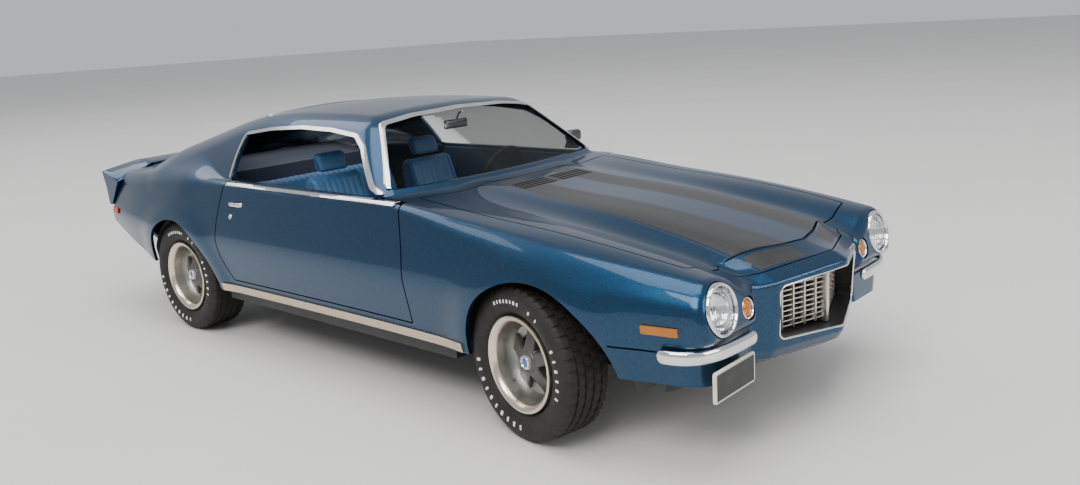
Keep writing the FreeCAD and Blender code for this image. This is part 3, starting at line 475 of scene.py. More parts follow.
def finish_mesh(obj, angle=32.0):
    """Join loose seams, turn faces outwards and keep only real edges sharp."""
    mesh = fix_normals(obj, SEAM * MM).data
    mesh.polygons.foreach_set("use_smooth", [True] * len(mesh.polygons))
    mesh.set_sharp_from_angle(angle=math.radians(angle))
    return obj


def bevelled(obj, width, segments=3, angle=32.0):
    """Round every real edge by a width in millimetres."""
    modifier = obj.modifiers.new("edge", "BEVEL")
    modifier.width = width * MM
    modifier.segments = segments
    modifier.limit_method = "ANGLE"
    modifier.angle_limit = math.radians(angle)
    return finish_mesh(applied(obj), 40.0)


def lathe(name, profile, centre, axis, segments=96, angle=32.0):
    """Closed outline of (height, radius) points turned about an axis."""
    axis = np.array(axis, float) / np.linalg.norm(axis)
    side = np.cross(axis, (0.0, 0.0, 1.0) if abs(axis[2]) < 0.9 else (1.0, 0.0, 0.0))
    side /= np.linalg.norm(side)
    up = np.cross(axis, side)
    verts = []
    for k in range(segments):
        turn = 2.0 * math.pi * k / segments
        out = math.cos(turn) * side + math.sin(turn) * up
        verts += [np.array(centre) + axis * h + out * r for h, r in profile]
    faces = grid_faces(segments, len(profile), closed_rows=True)
    return finish_mesh(new_object(name, verts, faces), angle)


def sweep(name, path, section, up=(0.0, 0.0, 1.0), closed=False, sizes=1.0):
    """Section of (sideways, upwards) points carried along a path, scaled by sizes."""
    path = np.array(path, float)
    if closed:
        ahead = np.roll(path, -1, axis=0) - np.roll(path, 1, axis=0)
    else:
        ahead = np.gradient(path, axis=0)
    ahead /= np.linalg.norm(ahead, axis=1, keepdims=True)
    side = np.cross(ahead, up)
    side /= np.linalg.norm(side, axis=1, keepdims=True)
    top = np.cross(side, ahead)
    scale = np.broadcast_to(sizes, len(path))[:, None, None]
    shape = np.array(section, float)[None] * scale
    verts = path[:, None, :] + side[:, None, :] * shape[:, :, :1] + top[:, None, :] * shape[:, :, 1:]
    if closed:
        faces = grid_faces(len(path), len(section), closed_rows=True)
    else:
        faces = loft_faces(len(path), len(section))
    return finish_mesh(new_object(name, verts.reshape(-1, 3), faces), 40.0)


def oval(a, b, power=2.0, count=20):
    """Superellipse section."""
    turns = [2.0 * math.pi * (k + 0.5) / count for k in range(count)]
    return [(a * math.copysign(abs(math.cos(t)) ** (2.0 / power), math.cos(t)),
             b * math.copysign(abs(math.sin(t)) ** (2.0 / power), math.sin(t))) for t in turns]


def block(name, x0, x1, y0, y1, z0, z1, edge=0.0, segments=2):
    """Box with rounded edges."""
    obj = prism(name, rect(x0, x1, y0, y1), "xy", z0, z1)
    return bevelled(obj, edge, segments) if edge else obj


def joined(name, objects):
    """Several meshes as one object."""
    bm = bmesh.new()
    for obj in objects:
        bm.from_mesh(obj.data)
        bpy.data.objects.remove(obj)
    mesh = bpy.data.meshes.new(name)
    bm.to_mesh(mesh)
    bm.free()
    whole = bpy.data.objects.new(name, mesh)
    bpy.context.scene.collection.objects.link(whole)
    return whole


# ---------------------------------------------------------------- materials
class Finish:
    """One procedural material, built node by node."""

    def __init__(self, name):
        self.material = bpy.data.materials.new(name)
        self.material.use_nodes = True
        self.tree = self.material.node_tree
        self.shader = self.tree.nodes["Principled BSDF"]
        self.place = self.tree.nodes.new("ShaderNodeTexCoord").outputs["Object"]

    def feed(self, value, socket):
        if isinstance(value, bpy.types.NodeSocket):
            self.tree.links.new(value, socket)
        elif isinstance(value, tuple) and len(value) == 3 and socket.type == "RGBA":
            socket.default_value = (*value, 1.0)
        else:
            socket.default_value = value

    def set(self, **values):
        for key, value in values.items():
            self.feed(value, self.shader.inputs[key.replace("_", " ")])
        return self

    def math(self, operation, a, b=0.0, c=0.0):
        node = self.tree.nodes.new("ShaderNodeMath")
        node.operation = operation
        for value, socket in zip((a, b, c), node.inputs):
            self.feed(value, socket)
        return node.outputs[0]

    def axes(self):
        node = self.tree.nodes.new("ShaderNodeSeparateXYZ")
        self.feed(self.place, node.inputs[0])
        return [self.math("MULTIPLY", out, 1000.0) for out in node.outputs]

    def noise(self, feature, detail=2.0, stretch=None):
        node = self.tree.nodes.new("ShaderNodeTexNoise")
        vector = self.place
        if stretch:
            mapping = self.tree.nodes.new("ShaderNodeMapping")
            mapping.inputs["Scale"].default_value = stretch
            self.feed(vector, mapping.inputs["Vector"])
            vector = mapping.outputs[0]
        self.feed(vector, node.inputs["Vector"])
        node.inputs["Scale"].default_value = 1000.0 / feature
        node.inputs["Detail"].default_value = detail
        return node.outputs[0]

    def cells(self, feature, output="Color"):
        node = self.tree.nodes.new("ShaderNodeTexVoronoi")
        self.feed(self.place, node.inputs["Vector"])
        node.inputs["Scale"].default_value = 1000.0 / feature
        return node.outputs[output]

    def spread(self, value, low, high):
        """A 0 to 1 pattern turned into a range."""
        node = self.tree.nodes.new("ShaderNodeMapRange")
        self.feed(value, node.inputs["Value"])
        node.inputs["From Min"].default_value = 0.25
        node.inputs["From Max"].default_value = 0.75
        node.inputs["To Min"].default_value = low
        node.inputs["To Max"].default_value = high
        return node.outputs[0]

    def blend(self, share, a, b):
        node = self.tree.nodes.new("ShaderNodeMix")
        node.data_type = "RGBA"
        self.feed(share, node.inputs["Factor"])
        self.feed(a, node.inputs[6])
        self.feed(b, node.inputs[7])
        return node.outputs[2]

    def mottled(self, a, b, feature, detail=2.0):
        """Two colours mixed in soft patches."""
        return self.blend(self.spread(self.noise(feature, detail), 0.0, 1.0), a, b)

    def bump(self, height, strength, depth):
        node = self.tree.nodes.new("ShaderNodeBump")
        node.inputs["Strength"].default_value = strength
        node.inputs["Distance"].default_value = depth * MM
        self.feed(height, node.inputs["Height"])
        self.feed(node.outputs[0], self.shader.inputs["Normal"])

    def above(self, value, low):
        return self.math("GREATER_THAN", value, low)

    def under(self, value, high):
        return self.math("LESS_THAN", value, high)

    def between(self, value, low, high):
        return self.all_of(self.above(value, low), self.under(value, high))

    def all_of(self, first, *others):
        for other in others:
            first = self.math("MULTIPLY", first, other)
        return first

    def any_of(self, first, *others):
        for other in others:
            first = self.math("MAXIMUM", first, other)
        return first


def stripes_and_painted_shade_mask(f):
    """Black hood stripes, header blocks, their pinstripes and the air slots, and painted shade: black on the
    inner walls of the grille's opening.
    """
    x, y, z = f.axes()
    u = f.math("ABSOLUTE", y)
    past_edge = f.math("SUBTRACT", u, f.math("MULTIPLY_ADD", x, 0.076, 11.8))
    past_seam = f.math("SUBTRACT", x, f.math("MULTIPLY_ADD", u, -0.37, 123.36))
    root = f.math("SQRT", f.math("MULTIPLY_ADD", u, u, 0.6))
    run = f.math("SUBTRACT", f.math("MULTIPLY_ADD", root, -0.342, NOSE_TIP + 0.2), x)
    band = f.all_of(f.above(u, 6.2), f.under(past_edge, 0.0))
    lines = f.any_of(f.between(past_edge, 0.55, 0.85), f.between(u, 5.35, 5.65))
    hood = f.all_of(f.any_of(band, lines), f.under(past_seam, 0.2), f.above(x, 39.4))
    vents = f.all_of(f.between(x, 43.8, 50.4), f.under(u, 15.2))
    header = f.all_of(f.above(past_seam, 0.9), f.above(run, 4.5))
    header_block = f.all_of(header, f.under(u, 19.3), f.above(u, 6.4))
    header_lines = f.all_of(f.any_of(f.between(u, 19.85, 20.15), f.between(u, 5.55, 5.85)), header)
    marks = f.all_of(f.any_of(hood, vents, header_block, header_lines), f.above(z, 36.6))
    # painted shade: the inner walls of the grille opening, recessed behind the nose front, are painted black
    grille_mouth_painted_shade = f.all_of(f.under(u, 19.2), f.between(z, 22.75, 36.95), f.between(run, 0.95, 16.0))
    return f.any_of(marks, grille_mouth_painted_shade)


def paint_finish():
    f = Finish("metallic_blue_paint")
    flakes = f.math("MULTIPLY", f.cells(0.2), 1.0)
    blue = f.mottled((0.0006, 0.024, 0.064), (0.0009, 0.030, 0.078), 30.0)
    blue = f.blend(f.spread(flakes, 0.0, 1.0), blue, (0.0012, 0.050, 0.116))
    mask = stripes_and_painted_shade_mask(f)
    # this black colours the stripes and also the painted shade on the grille opening's inner walls
    black = f.mottled((0.012, 0.012, 0.013), (0.022, 0.022, 0.023), 1.2)
    clean = f.math("SUBTRACT", 1.0, mask)
    f.set(Base_Color=f.blend(mask, blue, black),
          Metallic=f.math("MULTIPLY", clean, 0.82),
          Roughness=f.math("MULTIPLY_ADD", mask, 0.12, 0.30),
          Coat_Weight=f.math("MULTIPLY_ADD", mask, -0.35, 0.55),
          Coat_Roughness=0.035)
    f.bump(f.noise(1.6, 1.0), 0.05, 0.02)
    return f.material


def metal_finish(name, colour, rough, brushed=None, metallic=1.0, coat=0.0):
    f = Finish(name)
    dark = tuple(c * 0.86 for c in colour)
    f.set(Base_Color=f.mottled(colour, dark, 3.0, 3.0), Metallic=metallic,
          Roughness=f.spread(f.noise(1.5, 3.0, stretch=brushed), rough * 0.75, rough * 1.3))
    if coat:
        f.set(Coat_Weight=coat, Coat_Roughness=0.06)
    f.bump(f.noise(0.5, 2.0, stretch=brushed), 0.08, 0.03)
    return f.material


def plastic_finish(name, colour, rough, grain=0.5, strength=0.25, coat=0.0):
    f = Finish(name)
    light = tuple(min(1.0, c * 1.35 + 0.004) for c in colour)
    f.set(Base_Color=f.mottled(colour, light, 4.0, 3.0),
          Roughness=f.spread(f.noise(2.0, 2.0), rough * 0.85, min(1.0, rough * 1.15)))
    if coat:
        f.set(Coat_Weight=coat, Coat_Roughness=0.1)
    f.bump(f.noise(grain, 3.0), strength, 0.05)
    return f.material


def lens_finish(name, colour, rough, density=1.0):
    f = Finish(name)
    deep = tuple(c * 0.8 for c in colour)
    f.set(Base_Color=f.mottled(colour, deep, 3.0), Roughness=rough,
          Transmission_Weight=density, IOR=1.46)
    f.bump(f.noise(0.8, 1.0), 0.04, 0.02)
    return f.material


def pane_finish(name, tint, see_through):
    """Thin clear glass: light passes straight on, with a Fresnel gloss on top."""
    f = Finish(name)
    clear = f.tree.nodes.new("ShaderNodeBsdfTransparent")
    f.feed(f.mottled(tint, tuple(c * 0.97 for c in tint), 12.0), clear.inputs["Color"])
    f.set(Base_Color=(0.01, 0.012, 0.012), Roughness=0.02, Specular_IOR_Level=0.8)
    fresnel = f.tree.nodes.new("ShaderNodeFresnel")
    fresnel.inputs["IOR"].default_value = 1.22
    mixer = f.tree.nodes.new("ShaderNodeMixShader")
    f.feed(f.math("MULTIPLY_ADD", fresnel.outputs[0], 0.7, 1.0 - see_through), mixer.inputs[0])
    f.tree.links.new(clear.outputs[0], mixer.inputs[1])
    f.tree.links.new(f.shader.outputs[0], mixer.inputs[2])
    f.tree.links.new(mixer.outputs[0], f.tree.nodes["Material Output"].inputs["Surface"])
    return f.material


def fluted_lens_finish(name, colour):
    f = Finish(name)
    y, z = f.axes()[1:]
    ribs = f.math("ABSOLUTE", f.math("SINE", f.math("MULTIPLY", y, 4.2)))
    rows = f.math("ABSOLUTE", f.math("SINE", f.math("MULTIPLY", z, 1.5)))
    f.set(Base_Color=f.mottled(colour, tuple(c * 0.93 for c in colour), 2.0),
          Roughness=0.04, Transmission_Weight=1.0, IOR=1.46)
    f.bump(f.math("MULTIPLY_ADD", rows, 0.2, ribs), 0.16, 0.10)
    return f.material


def rubber_finish():
    f = Finish("tyre_rubber")
    f.set(Base_Color=f.mottled((0.011, 0.010, 0.010), (0.021, 0.019, 0.018), 2.5, 3.0),
          Roughness=f.spread(f.noise(1.0, 3.0), 0.52, 0.72), Specular_IOR_Level=0.35)
    f.bump(f.noise(0.35, 3.0), 0.25, 0.04)
    return f.material


def vinyl_finish(name, colour):
    f = Finish(name)
    light = tuple(min(1.0, c * 1.3) for c in colour)
    f.set(Base_Color=f.blend(f.spread(f.noise(2.0, 3.0), 0.0, 1.0), colour, light),
          Roughness=f.spread(f.noise(1.0), 0.42, 0.58), Sheen_Weight=0.15, Sheen_Roughness=0.5)
    f.bump(f.cells(0.35, "Distance"), 0.25, 0.05)
    return f.material


def carpet_finish(name, colour):
    f = Finish(name)
    light = tuple(min(1.0, c * 1.8) for c in colour)
    f.set(Base_Color=f.blend(f.spread(f.noise(0.4, 3.0), 0.0, 1.0), colour, light), Roughness=0.95,
          Sheen_Weight=0.3)
    f.bump(f.noise(0.3, 3.0), 0.8, 0.12)
    return f.material


PAINT = paint_finish()
CHROME = metal_finish("chrome", (0.86, 0.87, 0.88), 0.07)
SILVER_TRIM = metal_finish("silver_trim", (0.80, 0.80, 0.79), 0.16)
ROCKER_METAL = metal_finish("rocker_silver", (0.70, 0.58, 0.46), 0.24)
GRILLE_METAL = metal_finish("grille_silver", (0.70, 0.66, 0.60), 0.30)
RIM_RING = metal_finish("rim_ring_silver", (0.80, 0.70, 0.58), 0.22)
RIM_BOWL = metal_finish("rim_bowl_grey", (0.42, 0.41, 0.38), 0.36)
SPOKE_GREY = metal_finish("spoke_grey", (0.13, 0.125, 0.12), 0.42, metallic=0.8)
STEEL = metal_finish("steel", (0.46, 0.46, 0.45), 0.34, brushed=(1.0, 6.0, 6.0))
DARK_STEEL = metal_finish("dark_steel", (0.12, 0.12, 0.12), 0.42)
ENGINE_PAINT = metal_finish("engine_paint", (0.16, 0.17, 0.19), 0.42, metallic=0.2, coat=0.3)
BLACK_SATIN = plastic_finish("satin_black", (0.012, 0.012, 0.012), 0.48)
BLACK_GLOSS = plastic_finish("gloss_black", (0.010, 0.010, 0.011), 0.22, strength=0.05, coat=0.6)
WHITE_MARKS = plastic_finish("raised_white", (0.72, 0.70, 0.66), 0.55)
IVORY = plastic_finish("pale_plate_edge", (0.66, 0.60, 0.46), 0.5)
BLUE_CAP = plastic_finish("cap_blue", (0.02, 0.09, 0.32), 0.25, strength=0.05, coat=0.8)
RUBBER = rubber_finish()
SEAT_BLUE = vinyl_finish("blue_vinyl", (0.022, 0.105, 0.235))
CABIN_DARK = vinyl_finish("dark_blue_cabin", (0.012, 0.040, 0.085))
CARPET = carpet_finish("dark_carpet", (0.006, 0.012, 0.026))
GLASS = pane_finish("window_glass", (0.985, 0.992, 0.990), 0.99)
CLEAR_LENS = fluted_lens_finish("clear_fluted_lens", (0.97, 0.98, 0.99))
AMBER = lens_finish("amber_lens", (0.95, 0.33, 0.03), 0.12, 0.55)
RED_LENS = lens_finish("red_lens", (0.62, 0.02, 0.015), 0.12, 0.5)


def dress(obj, material, slot, body, *replaced):
    """Give a piece its finish, its body and the CAD nodes it stands for."""
    obj.data.materials.clear()
    obj.data.materials.append(material)
    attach(obj, body)
    if replaced:
        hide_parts(*replaced)
    return obj


# ---------------------------------------------------------------- body skins and panels
DOOR_FRONT = [(35.0, 53.0), (36.6, 48.0), (38.2, 43.0), (39.8, 36.0), (39.9, 30.0), (39.2, 21.0)]
DOOR_REAR = [(-43.0, 21.0), (-45.8, 27.0), (-46.6, 34.0), (-46.4, 42.0), (-44.6, 53.0)]
SIDE_WINDOW = [(25.8, 51.9), (21.9, 53.6), (11.9, 62.9), (6.9, 65.6), (-5.0, 66.7), (-19.4, 67.0),
               (-34.9, 66.1), (-48.0, 64.4), (-47.4, 61.0), (-45.2, 51.9)]
HOOD_SIDE = [(38.8, 0.0), (38.2, -14.0), (36.8, -28.0), (35.0, -39.0), (60.0, -39.0), (90.0, -39.0),
             (106.0, -38.6), (114.6, -37.8), (115.4, -30.0), (114.6, -22.7), (117.6, -16.0),
             (120.4, -8.0), (121.9, 0.0)]
TRUNK_SIDE = [(-103.4, 0.0), (-103.4, -30.5), (-115.0, -32.2), (-126.0, -32.2), (-126.0, 0.0)]
WINDSHIELD_LINE = [(-41.4, 53.0), (-29.4, 68.3), (-18.0, 69.6), (0.0, 70.2), (18.0, 69.6), (29.4, 68.3),
                   (41.4, 53.0)]
REAR_WINDOW = [(-49.0, 0.0), (-50.5, -26.5), (-86.0, -24.0), (-88.0, 0.0)]
TAIL_CUT = [(-92.5, 5.0), (-92.5, 20.5), (-99.0, 22.6), (-107.0, 25.2), (-115.0, 28.0), (-122.0, 30.6),
            (-140.0, 35.5), (-140.0, 5.0)]
GRILLE_HALF = [(0.0, 36.9), (-18.0, 35.6), (-18.9, 34.6), (-18.4, 24.6), (-17.4, 23.7), (0.0, 22.9)]
DOOR_INNER_Y = 43.6
HINGE_CLEAR_Y = 45.6
BELT_Z = 51.75
BUMPER_Z = 32.2
TAIL_LAMP_Z = 39.5
VALANCE_Z = 19.8
BLUNT_END = 1.7

SIDES = ((-1, "right"), (1, "left"))
COARSE = 1.0


def span(low, high, pitch):
    return np.linspace(low, high, max(2, int(round((high - low) / (pitch * COARSE)))) + 1)


def net(name, offset, pitch, x_range=(-130.0, 134.0), low=14.0, nose_pitch=None):
    """Closed mesh of the outer form moved in or out."""
    xs = span(x_range[0], min(x_range[1], NOSE_START), pitch * 1.45)
    if x_range[1] > NOSE_START:
        xs = np.concatenate([xs, span(NOSE_START, x_range[1], (nose_pitch or pitch) * 0.8)[1:]])
    half_ys = span(0.0, 54.8, pitch)
    zs = span(low - 0.9, 74.2, pitch)
    verts, faces = surface_net(skin_field, xs, half_ys, zs, low, offset)
    return new_object(name, verts, faces)


OUTER = net("outer", 0.0, 0.85, nose_pitch=0.75)
INNER = net("inner", WALL, 1.7, low=10.0)
SHELL = boolean(copy_of(OUTER, "shell"), INNER)
bpy.context.view_layer.update()


def curved(points, count=40):
    """Door edge as a smooth line, kept under the belt."""
    line = spline_outline(points, count)
    line[:, 1] = np.minimum(line[:, 1], BELT_Z + 0.6)
    return [tuple(p) for p in line]


def door_outline(grow):
    outline = offset_outline(rounded(curved(DOOR_FRONT) + curved(DOOR_REAR), 1.4), grow)
    outline[:, 1] = np.minimum(outline[:, 1], BELT_Z + min(grow, 0.0))
    return outline


def arch_tool(name, arch):
    turns = [2.0 * math.pi * k / 128 for k in range(128)]
    circle = [(arch[0] + arch[2] * math.cos(t), arch[1] + arch[2] * math.sin(t)) for t in turns]
    return prism(name, circle, "xz", -66.0, 66.0)


def tube_tool(name, start, end, r, count=72):
    start = np.array(start, float)
    axis = np.array(end, float) - start
    length = float(np.linalg.norm(axis))
    return lathe(name, [(0.0, 0.0), (0.0, r), (length, r), (length, 0.0)], start, axis, count)


def lamp_axis():
    return np.array([math.cos(LAMP_LEAN), 0.0, math.sin(LAMP_LEAN)])


def lamp_tool(lamp, y, r, low, high):
    centre = np.array([lamp[0], y, lamp[2]])
    return tube_tool("bore", centre + lamp_axis() * low, centre + lamp_axis() * high, r)


def nose_outline(grow):
    """Plan outline of the nose panel's space, behind the hood seam line and between the fender noses."""
    half = NOSE_HALF + grow
    line = [(float(seam_x(abs(y))) + GAP - grow, y) for y in np.linspace(-half, half, 41)]
    return line + [(140.0, half), (140.0, -half)]


def make_panels():
    hood_line = rounded(mirrored(HOOD_SIDE), 1.2)
    trunk_line = rounded(mirrored(TRUNK_SIDE), 1.6)
    hood = boolean(copy_of(SHELL, "hood_panel"),
                   prism("t", offset_outline(hood_line, -GAP / 2), "xy", 36.0, 60.0), "INTERSECT")
    for k in range(4):
        for side in (-1, 1):
            x = 44.6 + 1.5 * k
            slot = [(x, side * 0.9), (x + 0.8, side * 0.9), (x + 0.8, side * 14.6), (x, side * 14.6)]
            boolean(hood, prism("t", rounded(slot, 0.3), "xy", 40.0, 60.0))
    trunk = boolean(copy_of(SHELL, "trunk_panel"),
                    prism("t", offset_outline(trunk_line, -GAP / 2), "xy", 45.0, 60.0), "INTERSECT")
    return hood, trunk, hood_line, trunk_line


def make_door(name):
    slab = prism("t", door_outline(-GAP / 2), "xz", -60.0, -DOOR_INNER_Y)
    door = boolean(copy_of(OUTER, name), slab, "INTERSECT")
    return boolean(door, prism("t", rect(24.5, 60.0, -HINGE_CLEAR_Y, -30.0), "xy", 10.0, 60.0))


def corner_zone(side):
    """Plan outline of a lower front corner, outside the nose."""
    return rect(102.4, 140.0, side * NOSE_HALF, side * 60.0)


def make_body(hood_line, trunk_line):
    """Body skin with its wheel arches, windows, panel openings and lamp bores."""
    body = copy_of(SHELL, "body_skin")
    cuts = [prism("t", rect(-140, 140, -60, 60), "xy", 5.0, SILL_Z)]
    cuts += [arch_tool("t", ARCH_FRONT), arch_tool("t", ARCH_REAR), prism("t", TAIL_CUT, "xz", -60.0, 60.0)]
    window = rounded(SIDE_WINDOW, 0.9)
    for low, high in ((-60.0, -25.0), (25.0, 60.0)):
        cuts.append(prism("t", window, "xz", low, high))
    outline = door_outline(GAP / 2)
    outline[:, 1] = np.where(outline[:, 1] > BELT_Z - 1.0, outline[:, 1] + 1.2, outline[:, 1])
    recess = rect(-43.0, 24.5, 21.0, 51.8)
    for side in (-1, 1):
        cuts.append(prism("t", outline, "xz", *sorted((side * 60.0, side * (DOOR_INNER_Y - 0.2)))))
        cuts.append(prism("t", recess, "xz", *sorted((side * 60.0, side * 36.0))))
    cuts.append(prism("t", rounded(WINDSHIELD_LINE, 1.5), "yz", 2.0, 50.0))
    cuts.append(prism("t", rounded(mirrored(REAR_WINDOW), 2.0), "xy", 53.0, 80.0))
    cuts.append(prism("t", offset_outline(hood_line, GAP / 2), "xy", 36.0, 60.0))
    cuts.append(prism("t", offset_outline(trunk_line, GAP / 2), "xy", 45.0, 60.0))
    cuts.append(prism("t", nose_outline(0.12), "xy", 5.0, 60.0))
    for side in (-1, 1):
        cuts.append(prism("t", corner_zone(side), "xy", 5.0, 27.5))
        cuts.append(lamp_tool(HEADLIGHT, side * HEADLIGHT[1], HEADLIGHT_R, -8.0, 6.0))
        cuts.append(lamp_tool(PARKING, side * PARKING[1], PARKING_R, -8.0, 6.0))
    cuts.append(prism("t", rounded(rect(-41.5, 41.5, 26.6, 45.8), 1.5), "yz", -140.0, -127.3))
    for tool in cuts:
        boolean(body, tool)
    return body


def make_valances():
    """Lower front corners under the bumperettes."""
    pieces = []
    for side in (-1, 1):
        zone = prism("t", corner_zone(side), "xy", VALANCE_Z, 27.1)
        piece = boolean(copy_of(SHELL, "valance"), zone, "INTERSECT")
        pieces.append(boolean(piece, arch_tool("t", ARCH_FRONT)))
    return joined("valance_skins", pieces)


def groove_tool():
    """Thin slot round the lip of the nose, just behind its front edge."""
    places = np.linspace(-NOSE_HALF - 0.5, NOSE_HALF + 0.5, 91)
    verts = []
    for y in places:
        u = abs(y)
        front = float(nose_front(u))
        level = 38.4 - 0.08 * u + 0.5 * LIP_RUN
        for run, z in ((LIP_RUN + 0.45, level - 0.9), (LIP_RUN + 0.1, level - 0.9),
                       (LIP_RUN + 0.1, 50.0), (LIP_RUN + 0.45, 50.0)):
            verts.append((front - run, y, z))
    return fix_normals(new_object("groove", verts, loft_faces(len(places), 4), smooth=False))


def grille_outline(grow=0.0):
    half = GRILLE_HALF[::-1]
    line = [(y, z) for y, z in half] + [(-y, z) for y, z in GRILLE_HALF[1:-1]]
    return offset_outline(rounded(line, 0.8), grow)


def make_nose():
    """Nose panel: header, lip and grille frame in one, with the grille opening cut in."""
    room = prism("t", nose_outline(0.0), "xy", 18.2, 60.0)
    nose = boolean(copy_of(OUTER, "nose_header"), room, "INTERSECT")
    boolean(nose, prism("t", grille_outline(), "yz", 115.5, 150.0))
    return boolean(nose, groove_tool())


def v_band(name, y0, y1, z0, z1, run_front, run_back):
    """Upright slab that follows the V of the nose on one side."""
    verts = []
    for y in np.linspace(y0, y1, 9):
        front = float(nose_front(abs(y)))
        verts += [(front - run_front, y, z0), (front - run_back, y, z0), (front - run_back, y, z1),
                  (front - run_front, y, z1)]
    return finish_mesh(new_object(name, verts, loft_faces(9, 4)), 30.0)


def make_grille():
    """Egg-crate bars on both halves and a centre post."""
    bars = []
    for side in (-1, 1):
        for k in range(10):
            z = 24.35 + 1.17 * k
            bars.append(bevelled(v_band("bar", side * 0.5, side * 18.3, z, z + 0.28, 5.2, 7.0), 0.08, 2))
        for k in range(1, 6):
            y = side * 3.22 * k
            bars.append(bevelled(v_band("post", y - 0.17, y + 0.17, 23.9, 36.2, 5.0, 7.0), 0.08, 2))
    bars.append(bevelled(v_band("centre", -0.62, 0.62, 23.2, 36.7, 4.4, 8.4), 0.2, 2))
    return joined("grille_bars", bars)


def grille_trim():
    """Bright line round the grille opening."""
    outline = grille_outline(0.1)
    path = []
    for y, z in outline:
        tuck = float(np.interp(z, [18.2, 19.6, 21.6, 30.0, 38.0], [4.8, 2.2, 1.0, 0.3, 0.0]))
        path.append((float(nose_front(abs(y))) - tuck - 0.2, y, z))
    return sweep("grille_trim", path, oval(0.26, 0.26, count=12), up=(1.0, 0.0, 0.0), closed=True)


hood, trunk, hood_line, trunk_line = make_panels()
body = make_body(hood_line, trunk_line)
door_r = make_door("door_skin_right")
door_l = mirror_copy(door_r, "door_skin_left")
valances = make_valances()
nose = make_nose()
for panel in (hood, trunk, body, door_r, door_l, valances, nose):
    field_normals(panel, skin_field)
bpy.data.objects.remove(SHELL)

for panel, carrier, node in ((body, "car_body", "body_shell"), (hood, "hood_lid", "hood"),
                             (trunk, "trunk", "trunk_lid"), (door_r, "door_r", "door_right"),
                             (door_l, "door_l", "door_left"), (valances, "car_body", "front_valances"),
                             (nose, "car_body", "nose_panel")):
    dress(panel, PAINT, "body_paint", carrier, node)
dress(make_grille(), GRILLE_METAL, "grille_silver", "car_body", "grille")
dress(grille_trim(), CHROME, "chrome", "car_body", "grille_surround")
for side, tag in SIDES:
    backing = v_band("grille_backing_" + tag, 0.0, side * 18.6, 23.4, 36.4, 9.6, 10.2)
    dress(backing, BLACK_SATIN, "chassis_black", "car_body")


# ---------------------------------------------------------------- lamps
def lamp_part(name, lamp, y, profile):
    return lathe(name, profile, (lamp[0], y, lamp[2]), lamp_axis(), 72)


def headlight(side, tag):
    y = side * HEADLIGHT[1]
    ring = [(-3.5, 5.5), (0.7, 5.56), (1.15, 5.44), (1.38, 5.2), (1.32, 4.92), (0.95, 4.72), (0.2, 4.6),
            (-3.5, 4.55)]
    bowl = [(-0.3, 4.5), (-1.3, 4.2), (-2.3, 3.4), (-3.0, 2.2), (-3.3, 1.1), (-3.4, 0.0), (-3.9, 0.0),
            (-3.8, 1.4), (-3.4, 2.8), (-2.6, 3.9), (-1.4, 4.52)]
    glass = [(0.62, 4.58), (0.98, 3.9), (1.28, 2.9), (1.46, 1.6), (1.52, 0.0), (1.1, 0.0), (1.02, 1.8),
             (0.6, 3.8), (0.25, 4.58)]
    bulb = [(-3.3, 0.0), (-3.3, 1.5), (-2.6, 1.45), (-1.9, 1.1), (-1.6, 0.0)]
    dress(lamp_part("headlight_lens_" + tag, HEADLIGHT, y, glass), CLEAR_LENS, "clear_lens", "car_body",
          "headlight_lenses")
    dress(lamp_part("headlight_bowl_" + tag, HEADLIGHT, y, bowl), CHROME, "chrome", "car_body")
    dress(lamp_part("headlight_bulb_" + tag, HEADLIGHT, y, bulb), BLACK_GLOSS, "chassis_black", "car_body")
    return lamp_part("ring", HEADLIGHT, y, ring)


def parking_lamp(side, tag):
    y = side * PARKING[1]
    ring = [(-2.5, 2.42), (0.45, 2.42), (0.75, 2.3), (0.82, 2.12), (0.6, 1.95), (0.1, 1.9), (-2.5, 1.9)]
    glass = [(-2.0, 1.86), (0.25, 1.86), (0.62, 1.45), (0.86, 0.8), (0.95, 0.0), (-2.0, 0.0)]
    dress(lamp_part("parking_lens_" + tag, PARKING, y, glass), AMBER, "amber_lens", "car_body",
          "parking_lamp_lenses")
    return lamp_part("ring", PARKING, y, ring)


rings = []
for side, tag in SIDES:
    rings.append(headlight(side, tag))
    rings.append(parking_lamp(side, tag))
dress(joined("lamp_rings", rings), CHROME, "chrome", "car_body", "lamp_bezels")


# ---------------------------------------------------------------- bumpers, plate and tail
def bumperette(side):
    line = [(113.6, -48.05), (116.4, -47.75), (119.4, -46.6), (121.8, -44.4), (123.2, -41.4), (124.0, -37.0),
            (124.35, -31.0), (124.35, -26.9)]
    path = [(x, -side * y, 27.0) for x, y in spline_outline(line, 120)]
    steps = np.linalg.norm(np.diff(path, axis=0), axis=1)
    along = np.concatenate([[0.0], np.cumsum(steps)])
    to_end = np.minimum(along, along[-1] - along)
    missing = np.clip(1.0 - to_end / BLUNT_END, 0.0, 0.99)
    return sweep("bumperette", path, oval(0.88, 1.5, 2.4, 24), sizes=np.sqrt(1.0 - missing * missing))


def make_plate():
    outline = rounded(rect(-44.0, -28.0, 17.4, 24.0), 0.7)
    base = bevelled(prism("plate_body", outline, "yz", 124.0, 124.6), 0.12, 2)
    face = bevelled(prism("plate_face", offset_outline(outline, -0.55), "yz", 124.55, 124.7), 0.05, 1)
    path = [(124.64, y, z) for y, z in offset_outline(outline, -0.42)]
    border = sweep("plate_border", path, oval(0.14, 0.14, count=10), up=(1.0, 0.0, 0.0), closed=True)
    dress(base, IVORY, "black_plate", "car_body", "licence_plate")
    dress(face, BLACK_SATIN, "black_plate", "car_body")
    dress(border, SILVER_TRIM, "chrome", "car_body")


